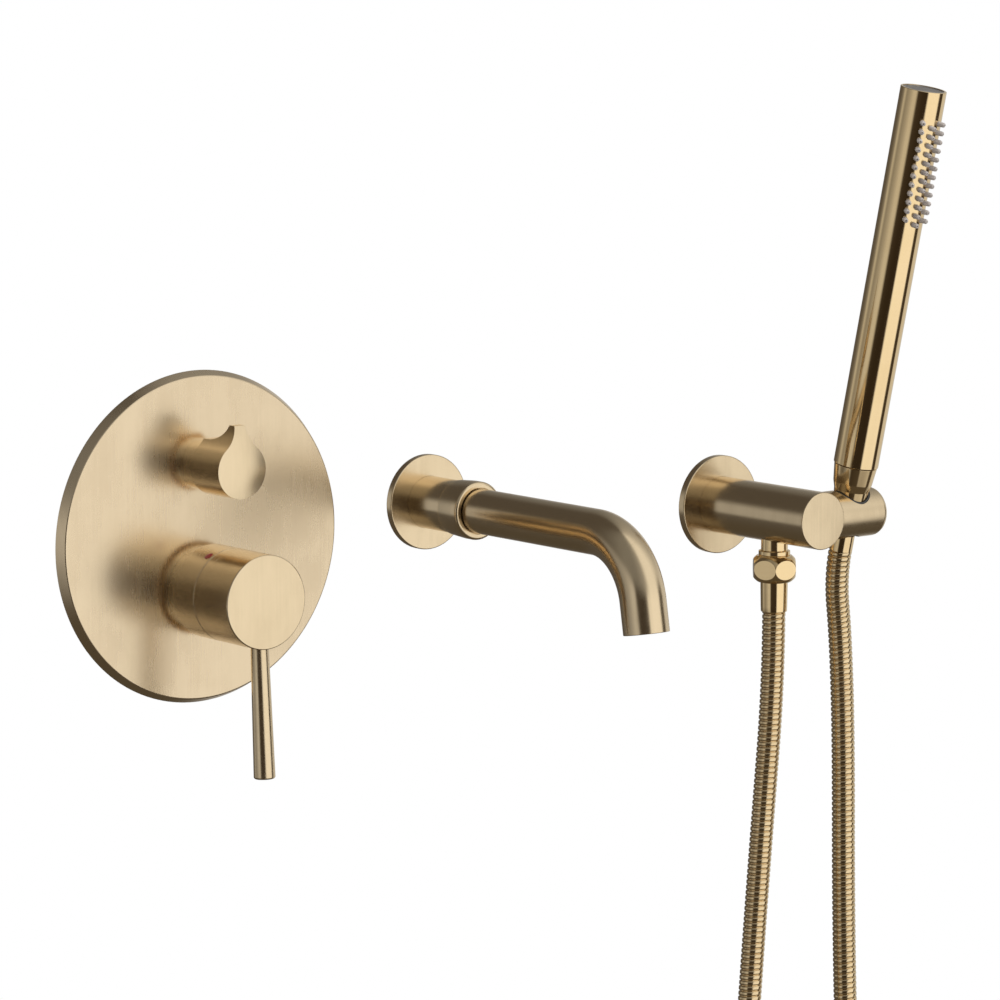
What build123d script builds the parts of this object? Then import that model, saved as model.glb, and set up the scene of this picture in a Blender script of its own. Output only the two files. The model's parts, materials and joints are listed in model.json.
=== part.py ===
"""Wall mounted bath mixer: diverter plate, spout and hand shower on its bracket.

Millimetres. X runs along the wall to the right, -Y leaves the wall and +Z is up.
The origin is the centre of the plate, on the finished wall (the plane Y = 0).
"""
import os
from math import cos, pi, radians, sin, tan

from build123d import *

# ---- driving dimensions: plate and valve -------------------------------------------------
PLATE_R = 94.5            # back edge of the plate
PLATE_FACE_R = 91.5       # front face, inside the tapered rim
PLATE_FACE_Y = -6.0
PLATE_WALL = 2.5
PLATE_RIM = 3.0           # width of the ring that touches the wall
MIXER = (0.0, -29.0)      # X and Z of the mixer's axis
KNOB = (0.0, 42.0)        # X and Z of the diverter's axis
VALVE_FRONT_Y = 12.0      # front of the valve body, behind the wall
VALVE_DEPTH = 48.0
PORT_Y = 38.0             # centre of the four pipe ports
PORT_R = 9.3              # G1/2 internal thread, at its crests
PORT_DEPTH = 15.0
PORT_BOSS_R = 15.0
PORT_REACH = 44.0         # from the barrel's axis to a side port's mouth
TOP_PORT_REACH = 29.0     # shorter, so the boss stays behind the plate
PIPE_R = 10.48            # G1/2 external thread, at its crests
BOLT_R = 2.75
STRAP_BACK_Y = 19.95      # back of the mounting strap, against the valve body's web
STRAP_THICK = 2.0
STRAP_HOLES = (100.0, 64.0)
STRAP_SCREWS_X = (-9.0, 9.0)
STRAP_MIDDLE_Z = 10.5     # between the two barrels
PORTS = [
    (MIXER, (-1, 0, 0), PORT_REACH),
    (MIXER, (1, 0, 0), PORT_REACH),
    (KNOB, (1, 0, 0), PORT_REACH),
    (KNOB, (0, 0, 1), TOP_PORT_REACH),
]

# ---- driving dimensions: mixer -----------------------------------------------------------
SLEEVE_R = 24.5
SLEEVE_FRONT_Y = -13.5
BARREL_R = 22.5
BARREL_FRONT_Y = -13.0
CARTRIDGE_R = 17.5
TILT_Y = 0.0              # the lever's tilt pin, on the mixer's axis
HANDLE_R = 26.5
SKIRT_BACK_Y = -14.0
SKIRT_BORE_R = 25.0
HANDLE_SEAM_Y = -34.5
HANDLE_FACE_Y = -67.0
GROOVE = 0.6
PLUG_TURN = 30.0          # degrees from straight up towards -X
PLUG_Y = -30.2
SCREW_FOOT = 6.0          # from the mixer's axis to the grub screw's foot
ROD_SET_BACK = 8.4        # from the handle's face to the rod's axis
ROD_LEAN = 3.0            # degrees outward, going down
ROD_ROOT_R = 4.9
ROD_END_R = 6.1
ROD_REACH = 99.5          # from the handle's axis to the rod's end

# ---- driving dimensions: diverter --------------------------------------------------------
KNOB_R = 16.0
KNOB_BACK_Y = -17.4
KNOB_FACE_Y = -46.0
KNOB_TAB_R = 25.0         # from the axis to the tab's flat end
KNOB_TAB_HALF = 3.4
KNOB_DOME_R = 90.0
KNOB_SLEEVE_R = 14.4

# ---- driving dimensions: spout -----------------------------------------------------------
SPOUT = (161.3, 6.0)      # X and Z of the spout's axis at the wall
SPOUT_FLANGE_R = 28.0
SPOUT_FLANGE_T = 4.5
SPOUT_SLEEVE_R = 15.5
SPOUT_SEAM_Y = -33.0
COLLAR_R = 17.0
COLLAR_FRONT_Y = -52.0
TUBE_R = 13.0
TUBE_WALL = 1.5
BEND_R = 41.0
BEND_TURN = 80.0          # degrees, so the outlet points 10 degrees outward
OUTLET_LEG = 18.0
SPOUT_REACH = 201.0       # wall to the outlet's centre

# ---- driving dimensions: hand-shower bracket ---------------------------------------------
BRACKET = (389.0, -15.4)  # X and Z of the bracket's axis
BRACKET_FLANGE_R = 30.5
BRACKET_FLANGE_T = 5.0
BRACKET_R = 17.5
BRACKET_FACE_Y = -98.0
OUTLET_Y = -54.5
SOCKET_R = 15.0
SOCKET_Y = BRACKET_FACE_Y + 15.5
SOCKET_END_X = 444.5
SOCKET_X = 423.0          # where the hand shower's axis crosses the barrel's axis
SOCKET_MOUTH_R = 10.9
SOCKET_FOOT_R = 8.6
LINER = 1.2
NIPPLE_R = 8.2
HOSE_NUT_AF = 25.5
HOSE_NUT_TURN = 231.5     # degrees from +X to one of its corners
HOSE_R = 7.2

# ---- driving dimensions: hand shower, measured along its own axis from the socket ---------
SHOWER_AXIS = Vector(0.051, -0.181, 0.982).normalized()
CONE_FOOT = -16.0
CONE_SHOULDER = 19.0
CONE_TOP = 31.0
SHOWER_TOP = 264.5
SHOWER_FOOT_R = 13.7
SHOWER_TOP_R = 13.9
SHOWER_WALL = 1.4
NOZZLE_FIRST = 18.5       # below the top
NOZZLE_PITCH = 5.35
NOZZLE_ROWS = 12
NOZZLE_TURN = 25.0        # degrees between the columns
NOZZLE_FACE_TURN = 8.0    # degrees that the middle column is turned towards -X
NOZZLE_R = 1.6
NOZZLE_OUT = 4.6

CLEAR = 0.3               # between bodies that move
FIT = 0.05                # between pieces of one body
SEAL_THICK = 1.0
SEAL_Y = PLATE_FACE_Y - 0.65
TUBE_SEAL_Y = -23.8

# ---- hose: one hanging loop, from the bracket's ferrule round to the hand shower ----------
HOSE_ROUTE = [
    (389.0, -54.5, -76.0),
    (389.0, -54.5, -122.0),
    (380.2, -55.6, -205.0),
    (370.6, -57.0, -300.0),
    (361.5, -59.0, -398.0),
    (345.0, -62.0, -475.0),
    (328.0, -66.0, -548.0),
    (353.4, -69.0, -595.6),
    (403.9, -72.0, -614.7),
    (454.4, -75.0, -595.7),
    (481.0, -78.0, -548.0),
    (461.0, -78.5, -453.0),
    (433.0, -77.5, -370.0),
    (429.5, -76.5, -265.0),
    (429.8, -74.5, -155.0),
    (428.0, -72.5, -92.0),
    (420.91, -75.08, -55.67),
    (421.83, -78.34, -37.99),
]


def lathe(profile, origin=(0, 0, 0), axis=(0, 0, 1), rounded=None):
    """Turn a closed (radius, height) outline about axis; rounded gives corners their radii."""
    face = make_face(Polyline([(r, h) for r, h in profile], close=True))
    for index, radius in (rounded or {}).items():
        corner = face.vertices().sort_by_distance(Vector(*profile[index], 0))[0]
        face = fillet(corner, radius)
    solid = revolve(Plane.XZ * face, Axis.Z)
    return Plane(origin=origin, z_dir=axis) * solid


def from_wall(profile, centre, rounded=None):
    """Turn a (radius, Y) outline about a line square to the wall through centre (X, Z)."""
    outline = [(r, -y) for r, y in profile]
    return lathe(outline, (centre[0], 0, centre[1]), (0, -1, 0), rounded)


def ring(outer, inner, low, high):
    """The outline of a plain ring or tube."""
    return [(inner, low), (outer, low), (outer, high), (inner, high)]


def disc(outer, low, high):
    """The outline of a plain disc or shaft."""
    return ring(outer, 0, low, high)


def rod(radius, start, end):
    """A plain cylinder between two points."""
    start, end = Vector(start), Vector(end)
    return lathe(disc(radius, 0, (end - start).length), start, end - start)


def o_ring(centre, radius, thick, y):
    """An O-ring round a line square to the wall, cut to the groove that holds it."""
    circle = Plane.XZ * (Pos(radius, -y) * Circle(thick / 2))
    ring_solid = revolve(circle, Axis.Z)
    return Plane(origin=(centre[0], 0, centre[1]), z_dir=(0, -1, 0)) * ring_solid


def shower_point(along):
    """A point on the hand shower's axis."""
    return Vector(SOCKET_X, SOCKET_Y, BRACKET[1]) + SHOWER_AXIS * along


def on_shower(profile, rounded=None):
    """Turn a (radius, distance along) outline about the hand shower's axis."""
    return lathe(profile, shower_point(0), SHOWER_AXIS, rounded)


# ---- plate group -------------------------------------------------------------------------
def wall_plate():
    """Hollow-backed round plate with a tapered rim and holes for both sleeves."""
    inner = PLATE_R - PLATE_RIM
    outline = [
        (0, PLATE_FACE_Y), (PLATE_FACE_R, PLATE_FACE_Y), (PLATE_R, 0), (inner, 0),
        (PLATE_FACE_R - PLATE_WALL, PLATE_FACE_Y + PLATE_WALL), (0, PLATE_FACE_Y + PLATE_WALL),
    ]
    plate = from_wall(outline, (0, 0), {1: 0.5})
    plate -= from_wall(disc(BARREL_R + CLEAR, PLATE_FACE_Y - 1, 1), MIXER)
    return plate - from_wall(disc(KNOB_SLEEVE_R - 1.2, PLATE_FACE_Y - 1, 1), KNOB)


def plate_gasket():
    """Soft ring behind the plate, just inside the rim."""
    back = PLATE_FACE_Y + PLATE_WALL + FIT
    return from_wall(ring(PLATE_FACE_R - PLATE_WALL - 1, PLATE_FACE_R - 13, back, -0.1), (0, 0))


def port(centre, y, direction, reach):
    """A pipe boss and the hole in it: the boss, the thread bore and the water way."""
    start = Vector(centre[0], y, centre[1])
    way = Vector(direction)
    mouth = start + way * reach
    boss = rod(PORT_BOSS_R, start, mouth)
    bore = rod(PORT_R, mouth - way * PORT_DEPTH, mouth + way)
    return boss, bore + rod(6.5, start, mouth - way * PORT_DEPTH)


def valve_body():
    """Cast rough-in body: two barrels joined by a web, with four threaded ports."""
    back = VALVE_FRONT_Y + VALVE_DEPTH
    solid = from_wall(disc(29, VALVE_FRONT_Y, back), MIXER, {1: 2, 2: 3})
    solid += from_wall(disc(21, VALVE_FRONT_Y, back), KNOB, {1: 2, 2: 3})
    web = Box(32, VALVE_DEPTH - 14, KNOB[1] - MIXER[1])
    solid += Pos(0, PORT_Y - 1, (KNOB[1] + MIXER[1]) / 2) * web
    cuts = []
    for centre, direction, reach in PORTS:
        boss, bore = port(centre, PORT_Y, direction, reach)
        solid += boss
        cuts.append(bore)
    solid += from_wall(disc(BARREL_R, BARREL_FRONT_Y, VALVE_FRONT_Y + 1), MIXER)
    solid += from_wall(disc(KNOB_SLEEVE_R - 1.5, -6.0, VALVE_FRONT_Y + 1), KNOB)
    for bore in cuts:
        solid -= bore
    solid -= from_wall(disc(CARTRIDGE_R + FIT, BARREL_FRONT_Y - 1, 28), MIXER)
    solid -= from_wall(disc(20.0, BARREL_FRONT_Y - 1, -4), MIXER)
    solid -= from_wall(disc(11.0, -7, 30), KNOB)
    way = rod(5.0, (0, PORT_Y, MIXER[1]), (0, PORT_Y, KNOB[1]))
    return solid - way


def mounting_strap():
    """Flat steel strap in front of the valve body's web, with two fixing holes each side."""
    across, high = STRAP_HOLES
    middle = STRAP_BACK_Y - STRAP_THICK / 2
    strap = Pos(0, middle, STRAP_MIDDLE_Z) * Box(across + 22, STRAP_THICK, 20)
    for x in (-across / 2, across / 2):
        strap += Pos(x, middle, 0) * Box(22, STRAP_THICK, high + 20)
        for z in (-high / 2, high / 2):
            strap -= rod(BOLT_R, (x, middle - 2, z), (x, middle + 2, z))
    for x in STRAP_SCREWS_X:
        strap -= rod(2.6, (x, middle - 2, STRAP_MIDDLE_Z), (x, middle + 2, STRAP_MIDDLE_Z))
    for centre, radius in ((MIXER, 29.0), (KNOB, 21.0)):
        strap -= from_wall(disc(radius + FIT, VALVE_FRONT_Y, VALVE_FRONT_Y + 20), centre)
    return strap


def strap_screws():
    """Two pan-head screws through the strap into the valve body's web."""
    front = STRAP_BACK_Y - STRAP_THICK
    heads = []
    for x in STRAP_SCREWS_X:
        shank = rod(2.5, (x, front, STRAP_MIDDLE_Z), (x, STRAP_BACK_Y, STRAP_MIDDLE_Z))
        head = lathe(disc(5.0, 0, 3.0), (x, front, STRAP_MIDDLE_Z), (0, -1, 0), {2: 1.2})
        slot = Pos(x, front - 3, STRAP_MIDDLE_Z) * Box(1.2, 2.4, 12)
        heads.append(shank + head - slot)
    return Compound(heads)


# ---- mixer -------------------------------------------------------------------------------
def mixer_sleeve():
    """Sleeve that fills the step between the plate and the handle's skirt."""
    front = PLATE_FACE_Y - FIT
    outline = ring(SLEEVE_R, BARREL_R + FIT, front, SLEEVE_FRONT_Y)
    groove = o_groove(MIXER, BARREL_R + 1.0, SEAL_THICK, SEAL_Y)
    return from_wall(outline, MIXER, {2: 0.5}) - groove


def o_groove(centre, radius, thick, y):
    """The ring-shaped groove of an O-ring."""
    half = thick / 2 + FIT
    return from_wall(ring(radius + half, radius - half, y + half, y - half), centre)


def cartridge_housing():
    """Plastic housing of the ceramic cartridge, open at the front for the stem."""
    outline = [
        (9.0, 27.5), (CARTRIDGE_R, 27.5), (CARTRIDGE_R, -6.0), (13.2, -6.0), (13.2, -12.0),
        (11.8, -12.0), (11.8, -4.8), (15.6, -3.2), (15.6, 21.0), (9.0, 21.0),
    ]
    return from_wall(outline, MIXER)


def fixed_disc():
    """Fixed ceramic disc with its two inlet ports and its outlet."""
    plate = from_wall(disc(15.5, 20.9, 17.0), MIXER)
    for x, z in ((-7, 3), (7, 3), (0, -8)):
        plate -= rod(2.8, (MIXER[0] + x, 22, MIXER[1] + z), (MIXER[0] + x, 16, MIXER[1] + z))
    return plate


def cartridge_nut():
    """Brass ring nut that holds the cartridge in the barrel."""
    nut = from_wall(ring(19.9, 13.4, -6.1, -12.4), MIXER)
    for turn in range(0, 360, 60):
        slot = Pos(0, -12.4, 19.5) * Box(4, 4, 5)
        nut -= Pos(MIXER[0], 0, MIXER[1]) * Rot(0, turn, 0) * slot
    return nut


def moving_disc():
    """Moving ceramic disc carried by the rotor."""
    plate = from_wall(disc(14.8, 16.9, 13.0), MIXER)
    return plate - Pos(MIXER[0], 16.9, MIXER[1]) * Box(12, 3, 8)


def cartridge_rotor():
    """Plastic rotor that the stem tilts in, slotted up and down."""
    rotor = from_wall([(0, 12.9), (15.2, 12.9), (15.2, -2.7), (11.4, -4.3), (11.4, -8.2), (0, -8.2)], MIXER)
    rotor -= Pos(MIXER[0], 0, MIXER[1]) * Box(7.8, 18, 17)
    return rotor - tilt_pin_at(1.5)


def tilt_pin_at(radius):
    """A rod along the lever's tilt axis."""
    return rod(radius, (MIXER[0] - 13, TILT_Y, MIXER[1]), (MIXER[0] + 13, TILT_Y, MIXER[1]))


def cartridge_stem():
    """Square steel stem from the tilt pin out to the handle's hub."""
    stem = Pos(MIXER[0], -12.0, MIXER[1]) * Box(7.0, 38.0, 7.0)
    stem = chamfer(stem.edges().group_by(Axis.Y)[0], 0.6)
    return stem - tilt_pin_at(1.55)


def handle_skirt():
    """Ring behind the handle: a thin skirt, and a web that sits on the stem."""
    hub = 8.5
    outline = [
        (0, HANDLE_SEAM_Y - 7), (13.0, HANDLE_SEAM_Y - 7), (13.0, HANDLE_SEAM_Y),
        (HANDLE_R, HANDLE_SEAM_Y), (HANDLE_R, SKIRT_BACK_Y), (SKIRT_BORE_R, SKIRT_BACK_Y),
        (SKIRT_BORE_R, -24.5), (hub, -24.5), (hub, -19.0), (0, -19.0),
    ]
    skirt = from_wall(outline, MIXER, {3: 0.3, 4: 0.3})
    skirt -= Pos(MIXER[0], -12.0, MIXER[1]) * Box(7.1, 38.2, 7.1)
    return skirt - plug_hole(2.6, 5.0) - plug_hole(2.05, HANDLE_R - SCREW_FOOT + 0.1)


def plug_point(height):
    """A point on the index plug's own line, that far from the mixer's axis."""
    turn = radians(PLUG_TURN)
    return Vector(MIXER[0] - height * sin(turn), PLUG_Y, MIXER[1] + height * cos(turn))


def plug_hole(radius, depth):
    """A radial hole down into the skirt's web, on the index plug's line."""
    return rod(radius, plug_point(HANDLE_R + 1), plug_point(HANDLE_R - depth))


def skirt_grub_screw():
    """Grub screw that clamps the web to the stem, with its hexagon socket."""
    top = plug_point(HANDLE_R - 5.5)
    screw = rod(2.0, top, plug_point(SCREW_FOOT))
    socket = extrude(Plane(origin=top, z_dir=plug_point(0) - top) * RegularPolygon(1.15, 6), 2.5)
    return screw - socket


def index_plug():
    """Small domed plug that closes the grub screw's hole."""
    top = plug_point(HANDLE_R)
    return lathe(disc(2.55, -4.9, 0.15), top, top - plug_point(0), {2: 0.12})


def handle_cap():
    """Handle cap with a flat face, a fine bevel and the rod's socket under it."""
    outline = [
        (0, HANDLE_FACE_Y), (HANDLE_R, HANDLE_FACE_Y), (HANDLE_R, HANDLE_SEAM_Y - GROOVE),
        (HANDLE_R - 0.7, HANDLE_SEAM_Y - GROOVE), (HANDLE_R - 0.7, HANDLE_SEAM_Y),
        (13.05, HANDLE_SEAM_Y), (13.05, HANDLE_SEAM_Y - 7.1), (20.0, HANDLE_SEAM_Y - 10),
        (20.0, HANDLE_FACE_Y + 17), (0, HANDLE_FACE_Y + 17),
    ]
    cap = from_wall(outline, MIXER, {1: 0.6})
    return cap - lever(FIT)


def lever(grow=0.0):
    """The tapered rod; grow widens it to cut its socket."""
    way = Vector(0, -sin(radians(ROD_LEAN)), -cos(radians(ROD_LEAN)))
    start = Vector(MIXER[0], HANDLE_FACE_Y + ROD_SET_BACK, MIXER[1]) + way * 14
    length = ROD_REACH / cos(radians(ROD_LEAN)) - 14
    outline = [(0, -grow), (ROD_ROOT_R + grow, -grow), (ROD_END_R + grow, length), (0, length)]
    return lathe(outline, start, way, {2: 1.2})


# ---- diverter ----------------------------------------------------------------------------
def diverter_sleeve():
    """Short sleeve between the plate and the knob."""
    outline = ring(KNOB_SLEEVE_R, 12.0, PLATE_FACE_Y - FIT, KNOB_BACK_Y + CLEAR + 0.2)
    return from_wall(outline, KNOB, {2: 0.4}) - o_groove(KNOB, 13.2, SEAL_THICK, SEAL_Y)


def diverter_cartridge():
    """Brass insert in the diverter barrel, which the stem turns in."""
    insert = from_wall(ring(10.9, 4.6, 29.0, -14.5), KNOB)
    return insert - from_wall(disc(7.6, 30, 6), KNOB)


def diverter_stem():
    """Stem with the plug that sends the water one way or the other."""
    plug = from_wall(disc(7.4, 28.0, 8.0), KNOB)
    plug -= Pos(KNOB[0] + 5, 18, KNOB[1]) * Box(6, 9, 9)
    shaft = from_wall(disc(4.5, 9.0, -36.0), KNOB)
    flat = Pos(KNOB[0], -28, KNOB[1] + 6.5) * Box(10, 17, 6)
    return plug + shaft - flat


def diverter_knob():
    """Round knob that runs up into a thumb tab, with a faintly domed face."""
    touch = radians(40)
    corner = (KNOB_R * sin(touch), KNOB_R * cos(touch))
    right = TangentArc(corner, (KNOB_TAB_HALF, KNOB_TAB_R), tangent=(-cos(touch), sin(touch)))
    top = Line((KNOB_TAB_HALF, KNOB_TAB_R), (-KNOB_TAB_HALF, KNOB_TAB_R))
    left = mirror(right, about=Plane.YZ)
    foot = Line((-corner[0], corner[1]), corner)
    outline = Circle(KNOB_R) + make_face([right, top, left, foot])
    depth = KNOB_BACK_Y - KNOB_FACE_Y
    front = Plane(origin=(KNOB[0], KNOB_BACK_Y, KNOB[1]), x_dir=(1, 0, 0), z_dir=(0, -1, 0))
    body = extrude(front * outline, depth)
    # the tab's back falls away in a hollow curve from its flat end to the round part
    low, high = KNOB_R - 0.5, KNOB_TAB_R + 1
    back = KNOB_FACE_Y + 8.5
    curve = ThreePointArc((back, KNOB_TAB_R), (back + 6.3, 18.4), (KNOB_BACK_Y - 4, KNOB_R))
    shade = make_face([
        Line((KNOB_BACK_Y + 1, high), (back, high)), Line((back, high), (back, KNOB_TAB_R)), curve,
        Line((KNOB_BACK_Y - 4, KNOB_R), (KNOB_BACK_Y + 1, KNOB_R)),
        Line((KNOB_BACK_Y + 1, KNOB_R), (KNOB_BACK_Y + 1, high)),
    ])
    side = Plane(origin=(KNOB[0] - 20, 0, KNOB[1]), x_dir=(0, 1, 0), z_dir=(1, 0, 0))
    body -= extrude(side * shade, 40)
    dome = Pos(KNOB[0], KNOB_FACE_Y + KNOB_DOME_R, KNOB[1]) * Sphere(KNOB_DOME_R)
    body &= dome
    body -= from_wall(disc(KNOB_SLEEVE_R + 0.3, KNOB_BACK_Y + 1, KNOB_BACK_Y - 1.0), KNOB)
    body -= from_wall(disc(4.55, KNOB_BACK_Y + 1, -36.2), KNOB)
    return body - knob_screw(2.05, 3.0, KNOB_R + 1)


def knob_screw(radius, low, high):
    """A radial rod under the knob, for its grub screw and the screw's hole."""
    return rod(radius, (KNOB[0], -24.0, KNOB[1] - low), (KNOB[0], -24.0, KNOB[1] - high))


def knob_grub_screw():
    """Grub screw under the knob, sunk below its surface."""
    socket = extrude(
        Plane(origin=(KNOB[0], -24.0, KNOB[1] - 13.0), z_dir=(0, 0, 1)) * RegularPolygon(1.15, 6), 2.5)
    return knob_screw(2.0, 4.6, 13.0) - socket


# ---- spout -------------------------------------------------------------------------------
def wall_nipple(centre, front):
    """G1/2 wall nipple: the threaded stub behind the wall and the spigot in front."""
    outline = [
        (7.0, 22.0), (PIPE_R, 22.0), (PIPE_R, 0.5), (10.0, 0.5), (10.0, front), (7.0, front),
    ]
    return from_wall(outline, centre)


def spout_flange():
    """Round cover flange of the spout."""
    outline = ring(SPOUT_FLANGE_R, SPOUT_SLEEVE_R + FIT, 0, -SPOUT_FLANGE_T)
    return from_wall(outline, SPOUT, {2: 0.6})


def spout_sleeve():
    """Sleeve that screws on the wall nipple and carries the spout tube."""
    outline = [
        (10.05, -0.3), (SPOUT_SLEEVE_R, -0.3), (SPOUT_SLEEVE_R, SPOUT_SEAM_Y),
        (14.6, SPOUT_SEAM_Y), (14.6, SPOUT_SEAM_Y - 7), (TUBE_R + FIT, SPOUT_SEAM_Y - 7),
        (TUBE_R + FIT, -22.0), (8.0, -22.0), (8.0, -12.05), (10.05, -12.05),
    ]
    sleeve = from_wall(outline, SPOUT, {2: 0.3})
    return sleeve - spout_screw(2.05, TUBE_R - 2, SPOUT_SLEEVE_R + 1)


def spout_screw(radius, low, high):
    """A radial rod under the sleeve, for the tube's grub screw and its hole."""
    return rod(radius, (SPOUT[0], -27.0, SPOUT[1] - low), (SPOUT[0], -27.0, SPOUT[1] - high))


def collar_nut():
    """Collar with a rounded lip, screwed on the sleeve round the tube."""
    outline = [
        (14.65, SPOUT_SEAM_Y - 0.4), (COLLAR_R - 0.8, SPOUT_SEAM_Y - 0.4), (COLLAR_R, COLLAR_FRONT_Y + 7),
        (COLLAR_R, COLLAR_FRONT_Y), (TUBE_R + 0.7, COLLAR_FRONT_Y), (TUBE_R + 0.7, COLLAR_FRONT_Y + 4),
        (TUBE_R + FIT, COLLAR_FRONT_Y + 4), (TUBE_R + FIT, SPOUT_SEAM_Y - 7.1), (14.65, SPOUT_SEAM_Y - 7.1),
    ]
    return from_wall(outline, SPOUT, {1: 0.3, 3: 1.8})


def spout_path():
    """The tube's centre line: out from the wall, round the bend and down the outlet leg."""
    turn = radians(BEND_TURN)
    bend_run = BEND_R * sin(turn) + OUTLET_LEG * cos(turn)
    start = Vector(SPOUT[0], -22.1, SPOUT[1])
    bend = Vector(SPOUT[0], -(SPOUT_REACH - bend_run), SPOUT[1])
    straight = Line(start, bend)
    middle = bend + Vector(0, -BEND_R * sin(turn / 2), -BEND_R * (1 - cos(turn / 2)))
    after = bend + Vector(0, -BEND_R * sin(turn), -BEND_R * (1 - cos(turn)))
    arc = ThreePointArc(bend, middle, after)
    way = Vector(0, -cos(turn), -sin(turn))
    leg = Line(after, after + way * OUTLET_LEG)
    return Wire([straight, arc, leg]), after + way * OUTLET_LEG, way


def spout_tube():
    """Bent round tube of the spout."""
    path, _, _ = spout_path()
    start = Plane(origin=path @ 0, z_dir=path % 0)
    outer = sweep(start * Circle(TUBE_R), path=path)
    inner = sweep(start * Circle(TUBE_R - TUBE_WALL), path=path)
    groove = o_groove(SPOUT, TUBE_R - 0.5, SEAL_THICK, TUBE_SEAL_Y)
    return outer - inner - groove


def aerator_housing():
    """Ring that screws into the outlet and holds the aerator."""
    _, outlet, way = spout_path()
    outline = ring(TUBE_R - TUBE_WALL - FIT, 9.6, 0.8, 9.5)
    return lathe(outline, outlet, way * -1)


def aerator_insert():
    """Plastic flow insert with a pattern of small holes."""
    _, outlet, way = spout_path()
    insert = lathe(disc(9.55, 1.6, 8.0), (0, 0, 0), (0, 0, 1))
    for count, radius in ((1, 0.0), (6, 3.4), (12, 6.8)):
        for step in range(count):
            turn = 2 * pi * step / count
            hole = Pos(radius * cos(turn), radius * sin(turn), 4) * Cylinder(1.0, 12)
            insert -= hole
    return Plane(origin=outlet, x_dir=(1, 0, 0), z_dir=way * -1) * insert


# ---- bracket -----------------------------------------------------------------------------
def bracket_flange():
    """Round cover flange of the bracket."""
    outline = ring(BRACKET_FLANGE_R, BRACKET_R + FIT, 0, -BRACKET_FLANGE_T)
    return from_wall(outline, BRACKET, {2: 0.6})


def bracket_body():
    """Round body of the bracket, bored as a water way down to the outlet."""
    outline = [
        (10.05, -0.3), (BRACKET_R, -0.3), (BRACKET_R, BRACKET_FACE_Y), (0, BRACKET_FACE_Y),
        (0, -64.0), (8.0, -64.0), (8.0, -12.05), (10.05, -12.05),
    ]
    body = from_wall(outline, BRACKET, {2: 0.6})
    body -= rod(NIPPLE_R - 1.2, down(0), down(30))
    return body - spigot(4.05, 8.5, 30)


def spigot(radius, low, high):
    """A rod along the barrel's axis, that far from the bracket's axis."""
    axis = (SOCKET_Y, BRACKET[1])
    return rod(radius, (BRACKET[0] + low, *axis), (BRACKET[0] + high, *axis))


def down(drop):
    """A point on the outlet's axis, that far below the bracket's axis."""
    return (BRACKET[0], OUTLET_Y, BRACKET[1] - drop)


def below(profile, rounded=None):
    """Turn a (radius, drop) outline about the outlet's axis."""
    return lathe(profile, down(0), (0, 0, -1), rounded)


def socket_bore(grow, low, high):
    """The hand shower's conical seat through the barrel."""
    slope = (SOCKET_MOUTH_R - SOCKET_FOOT_R) / 30.0
    middle = (SOCKET_MOUTH_R + SOCKET_FOOT_R) / 2 + grow
    return on_shower([(0, low), (middle + slope * low, low), (middle + slope * high, high), (0, high)])


def socket_barrel():
    """Cross barrel with a rounded end and a conical hole through it."""
    length = SOCKET_END_X - BRACKET[0]
    start = (BRACKET[0], SOCKET_Y, BRACKET[1])
    barrel = lathe(disc(SOCKET_R, 0, length), start, (1, 0, 0), {2: 4.0})
    barrel -= from_wall(disc(BRACKET_R + FIT, -40, BRACKET_FACE_Y - 1), BRACKET)
    barrel += spigot(4.0, 8.6, 24)
    return barrel - socket_bore(LINER, -24, 24)


def socket_liner():
    """Plastic liner of the conical hole, flush with the barrel."""
    liner = socket_bore(LINER - FIT, -20, 20) - socket_bore(0, -24, 24)
    shell = lathe(disc(SOCKET_R - 0.25, 0, 90), (BRACKET[0], SOCKET_Y, BRACKET[1]), (1, 0, 0))
    return liner & shell


def outlet_nipple():
    """Outlet nipple with a shoulder ring above its thread."""
    outline = [
        (4.5, 14.0), (NIPPLE_R, 14.0), (NIPPLE_R, 22.6),
        (NIPPLE_R + 1.5, 22.9), (NIPPLE_R + 1.5, 25.2), (9.6, 25.6), (9.6, 35.0), (4.5, 35.0),
    ]
    nipple = below(outline)
    return nipple - from_wall(disc(BRACKET_R + FIT, 0, BRACKET_FACE_Y), BRACKET) + below(
        ring(NIPPLE_R - 1.25, 4.5, 10.0, 17.0))


def hose_washer():
    """Rubber washer between the outlet and the hose."""
    return below(ring(9.3, 4.5, 35.05, 37.0))


def hose_nut():
    """Hexagon nut with barrelled corners."""
    corner = HOSE_NUT_AF / 2 / cos(radians(30))
    turn = radians(HOSE_NUT_TURN)
    seat = Plane(origin=down(25.8), x_dir=(cos(turn), sin(turn), 0), z_dir=(0, 0, -1))
    hexagon = extrude(seat * RegularPolygon(corner, 6), 16.1)
    barrel = make_face([
        Line((0, 25.8), (10.8, 25.8)),
        ThreePointArc((10.8, 25.8), (corner, 33.9), (10.3, 41.9)),
        Line((10.3, 41.9), (0, 41.9)), Line((0, 41.9), (0, 25.8)),
    ])
    envelope = Plane(origin=down(0), z_dir=(0, 0, -1)) * revolve(Plane.XZ * barrel, Axis.Z)
    nut = hexagon & envelope
    nut -= below(disc(9.65, 20, 38.6))
    return nut - below(disc(7.5, 30, 50))


def lower_ferrule():
    """Smooth ferrule between the nut and the hose, with its collar inside the nut."""
    outline = [
        (4.5, 37.05), (9.3, 37.05), (9.3, 38.5), (7.45, 38.5), (7.45, 42.0), (8.4, 42.3),
        (8.0, 60.6), (4.5, 60.6),
    ]
    return below(outline, {5: 0.3})


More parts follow.
